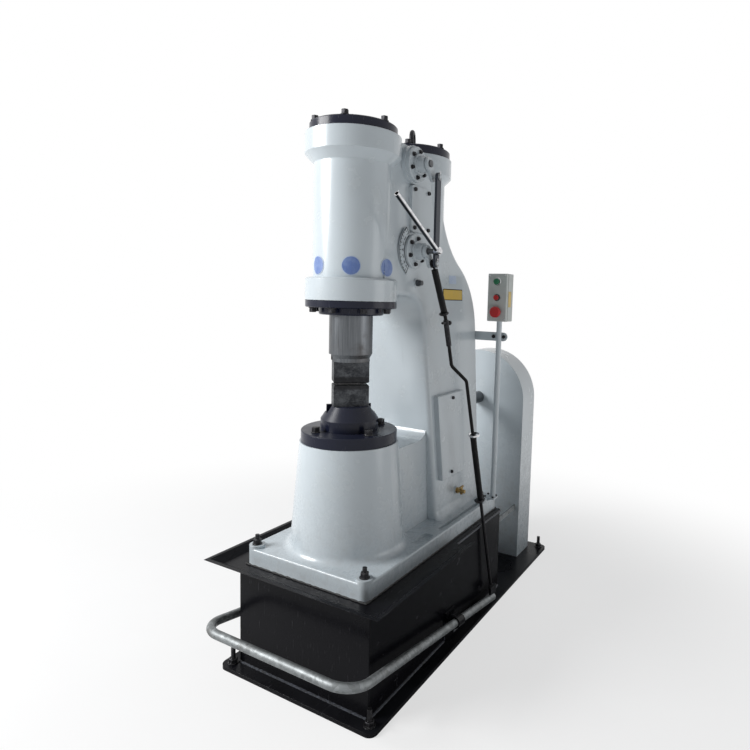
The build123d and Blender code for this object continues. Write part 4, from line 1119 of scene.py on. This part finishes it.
class HAMMER_OT_stage(bpy.types.Operator):
    """Plain pale floor, soft lamps, even sky and the camera"""

    bl_idname = "hammer.stage"
    bl_label = "Studio"

    def execute(self, context):
        scene = context.scene
        studio = scene.hammer_studio
        self.floor(scene)
        self.sky(scene, studio.sky)
        self.lamp("key_lamp", (-2.7, -2.6, 2.7), (0.0, 0.2, 0.9), 2.3, studio.key_power)
        self.lamp("fill_lamp", (3.4, 1.2, 1.0), (0.0, 0.3, 0.8), 2.0, studio.fill_power)
        self.camera(scene, studio)
        scene.view_settings.view_transform = "Standard"
        return {"FINISHED"}

    @staticmethod
    def floor(scene):
        bm = bmesh.new()
        bmesh.ops.create_circle(bm, cap_ends=True, segments=96, radius=9.0)
        mesh = bpy.data.meshes.new("studio_floor")
        bm.to_mesh(mesh)
        bm.free()
        floor = bpy.data.objects.new("studio_floor", mesh)
        scene.collection.objects.link(floor)
        f = Finish("studio_floor", Roughness=0.9, Specular_IOR_Level=0.1)
        grain = f.noise(5.0, 3.0)
        base = tuple(scene.hammer_colours.floor)
        f.wear(Base_Color=f.blend(f.band(grain, 0.3, 0.7), base, shade(base, 0.985)))
        reach = f.node("ShaderNodeVectorMath", {"operation": "LENGTH"}, {0: f.place}, "Value")
        glow = f.node("ShaderNodeEmission", {}, {"Color": (1, 1, 1), "Strength": 1.0})
        far = f.band(reach, 1.1, 2.6)
        seen = f.node("ShaderNodeLightPath", output="Is Camera Ray")
        share = far + (1 - far) * 0.65 * seen
        surface = f.node("ShaderNodeMixShader", {}, {0: share, 1: Wire(f, f.shader.outputs[0]), 2: glow})
        output = next(n for n in f.tree.nodes if n.type == "OUTPUT_MATERIAL")
        f.feed(output.inputs[0], surface)
        mesh.materials.append(f.material)

    @staticmethod
    def sky(scene, strength):
        world = bpy.data.worlds.new("studio_sky")
        scene.world = world
        world.use_nodes = True
        tree = world.node_tree
        tree.nodes.clear()
        path = tree.nodes.new("ShaderNodeLightPath")
        seen = path.outputs["Is Camera Ray"]
        for ray in ("Is Glossy Ray", "Is Transmission Ray"):
            either = tree.nodes.new("ShaderNodeMath")
            either.operation = "MAXIMUM"
            tree.links.new(seen, either.inputs[0])
            tree.links.new(path.outputs[ray], either.inputs[1])
            seen = either.outputs[0]
        mix = tree.nodes.new("ShaderNodeMixShader")
        tree.links.new(seen, mix.inputs[0])
        for k, colour, power in ((1, (0.93, 0.96, 1.0, 1), strength), (2, (1, 1, 1, 1), 1.0)):
            light = tree.nodes.new("ShaderNodeBackground")
            light.inputs[0].default_value = colour
            light.inputs[1].default_value = power
            tree.links.new(light.outputs[0], mix.inputs[k])
        output = tree.nodes.new("ShaderNodeOutputWorld")
        tree.links.new(mix.outputs[0], output.inputs[0])

    @staticmethod
    def lamp(name, spot, aim, size, power):
        light = bpy.data.lights.new(name, "AREA")
        light.shape = "DISK"
        light.size = size
        light.energy = power
        lamp = bpy.data.objects.new(name, light)
        lamp.location = spot
        way = Vector(aim) - Vector(spot)
        lamp.rotation_euler = way.to_track_quat("-Z", "Y").to_euler()
        bpy.context.scene.collection.objects.link(lamp)

    @staticmethod
    def camera(scene, studio):
        ahead = Vector((math.sin(studio.yaw) * math.cos(studio.pitch),
                        math.cos(studio.yaw) * math.cos(studio.pitch), math.sin(studio.pitch)))
        level = Vector((math.cos(studio.yaw), -math.sin(studio.yaw), 0))
        over = level.cross(ahead)
        c, s = math.cos(studio.roll), math.sin(studio.roll)
        right = c * level + s * over
        up = -s * level + c * over
        lens = bpy.data.cameras.new("photo_camera")
        lens.sensor_width = 36.0
        lens.lens = studio.lens
        lens.shift_x = -0.0867
        lens.shift_y = -0.0333
        lens.clip_end = 60.0
        camera = bpy.data.objects.new("photo_camera", lens)
        turn = Matrix((right, up, -ahead)).transposed().to_4x4()
        camera.matrix_world = Matrix.Translation(studio.eye) @ turn
        scene.collection.objects.link(camera)
        scene.camera = camera


class HAMMER_PT_panel(bpy.types.Panel):
    """The hammer's pieces, in the order in which they are made"""

    bl_label = "Forging hammer"
    bl_idname = "HAMMER_PT_panel"
    bl_space_type = "VIEW_3D"
    bl_region_type = "UI"
    bl_category = "Hammer"

    def draw(self, context):
        for operator in PIECES:
            self.layout.operator(operator.bl_idname)
        for group in ("hammer_colours", "hammer_sizes", "hammer_studio"):
            settings = getattr(context.scene, group)
            for name in settings.bl_rna.properties.keys():
                if name not in ("rna_type", "name"):
                    self.layout.prop(settings, name)


PIECES = (
    HAMMER_OT_finishes,
    HAMMER_OT_stage,
    HAMMER_OT_round_labels,
    HAMMER_OT_blank_plates,
    HAMMER_OT_scale_marks,
    HAMMER_OT_stud_threads,
    HAMMER_OT_weld_beads,
    HAMMER_OT_sealant,
    HAMMER_OT_cover_screws,
    HAMMER_OT_gaskets,
    HAMMER_OT_eyebolt,
    HAMMER_OT_pin_ends,
    HAMMER_OT_rod_nuts,
    HAMMER_OT_housing_bolts,
    HAMMER_OT_box_trim,
)
GROUPS = (HammerColours, HammerSizes, HammerStudio)


def register():
    for cls in GROUPS + PIECES + (HAMMER_PT_panel,):
        bpy.utils.register_class(cls)
    bpy.types.Scene.hammer_colours = bpy.props.PointerProperty(type=HammerColours)
    bpy.types.Scene.hammer_sizes = bpy.props.PointerProperty(type=HammerSizes)
    bpy.types.Scene.hammer_studio = bpy.props.PointerProperty(type=HammerStudio)


def unregister():
    for name in ("hammer_colours", "hammer_sizes", "hammer_studio"):
        delattr(bpy.types.Scene, name)
    for cls in reversed(GROUPS + PIECES + (HAMMER_PT_panel,)):
        bpy.utils.unregister_class(cls)


def main():
    register()
    for operator in PIECES:
        group, name = operator.bl_idname.split(".")
        getattr(getattr(bpy.ops, group), name)()


if __name__ == "__main__":
    main()
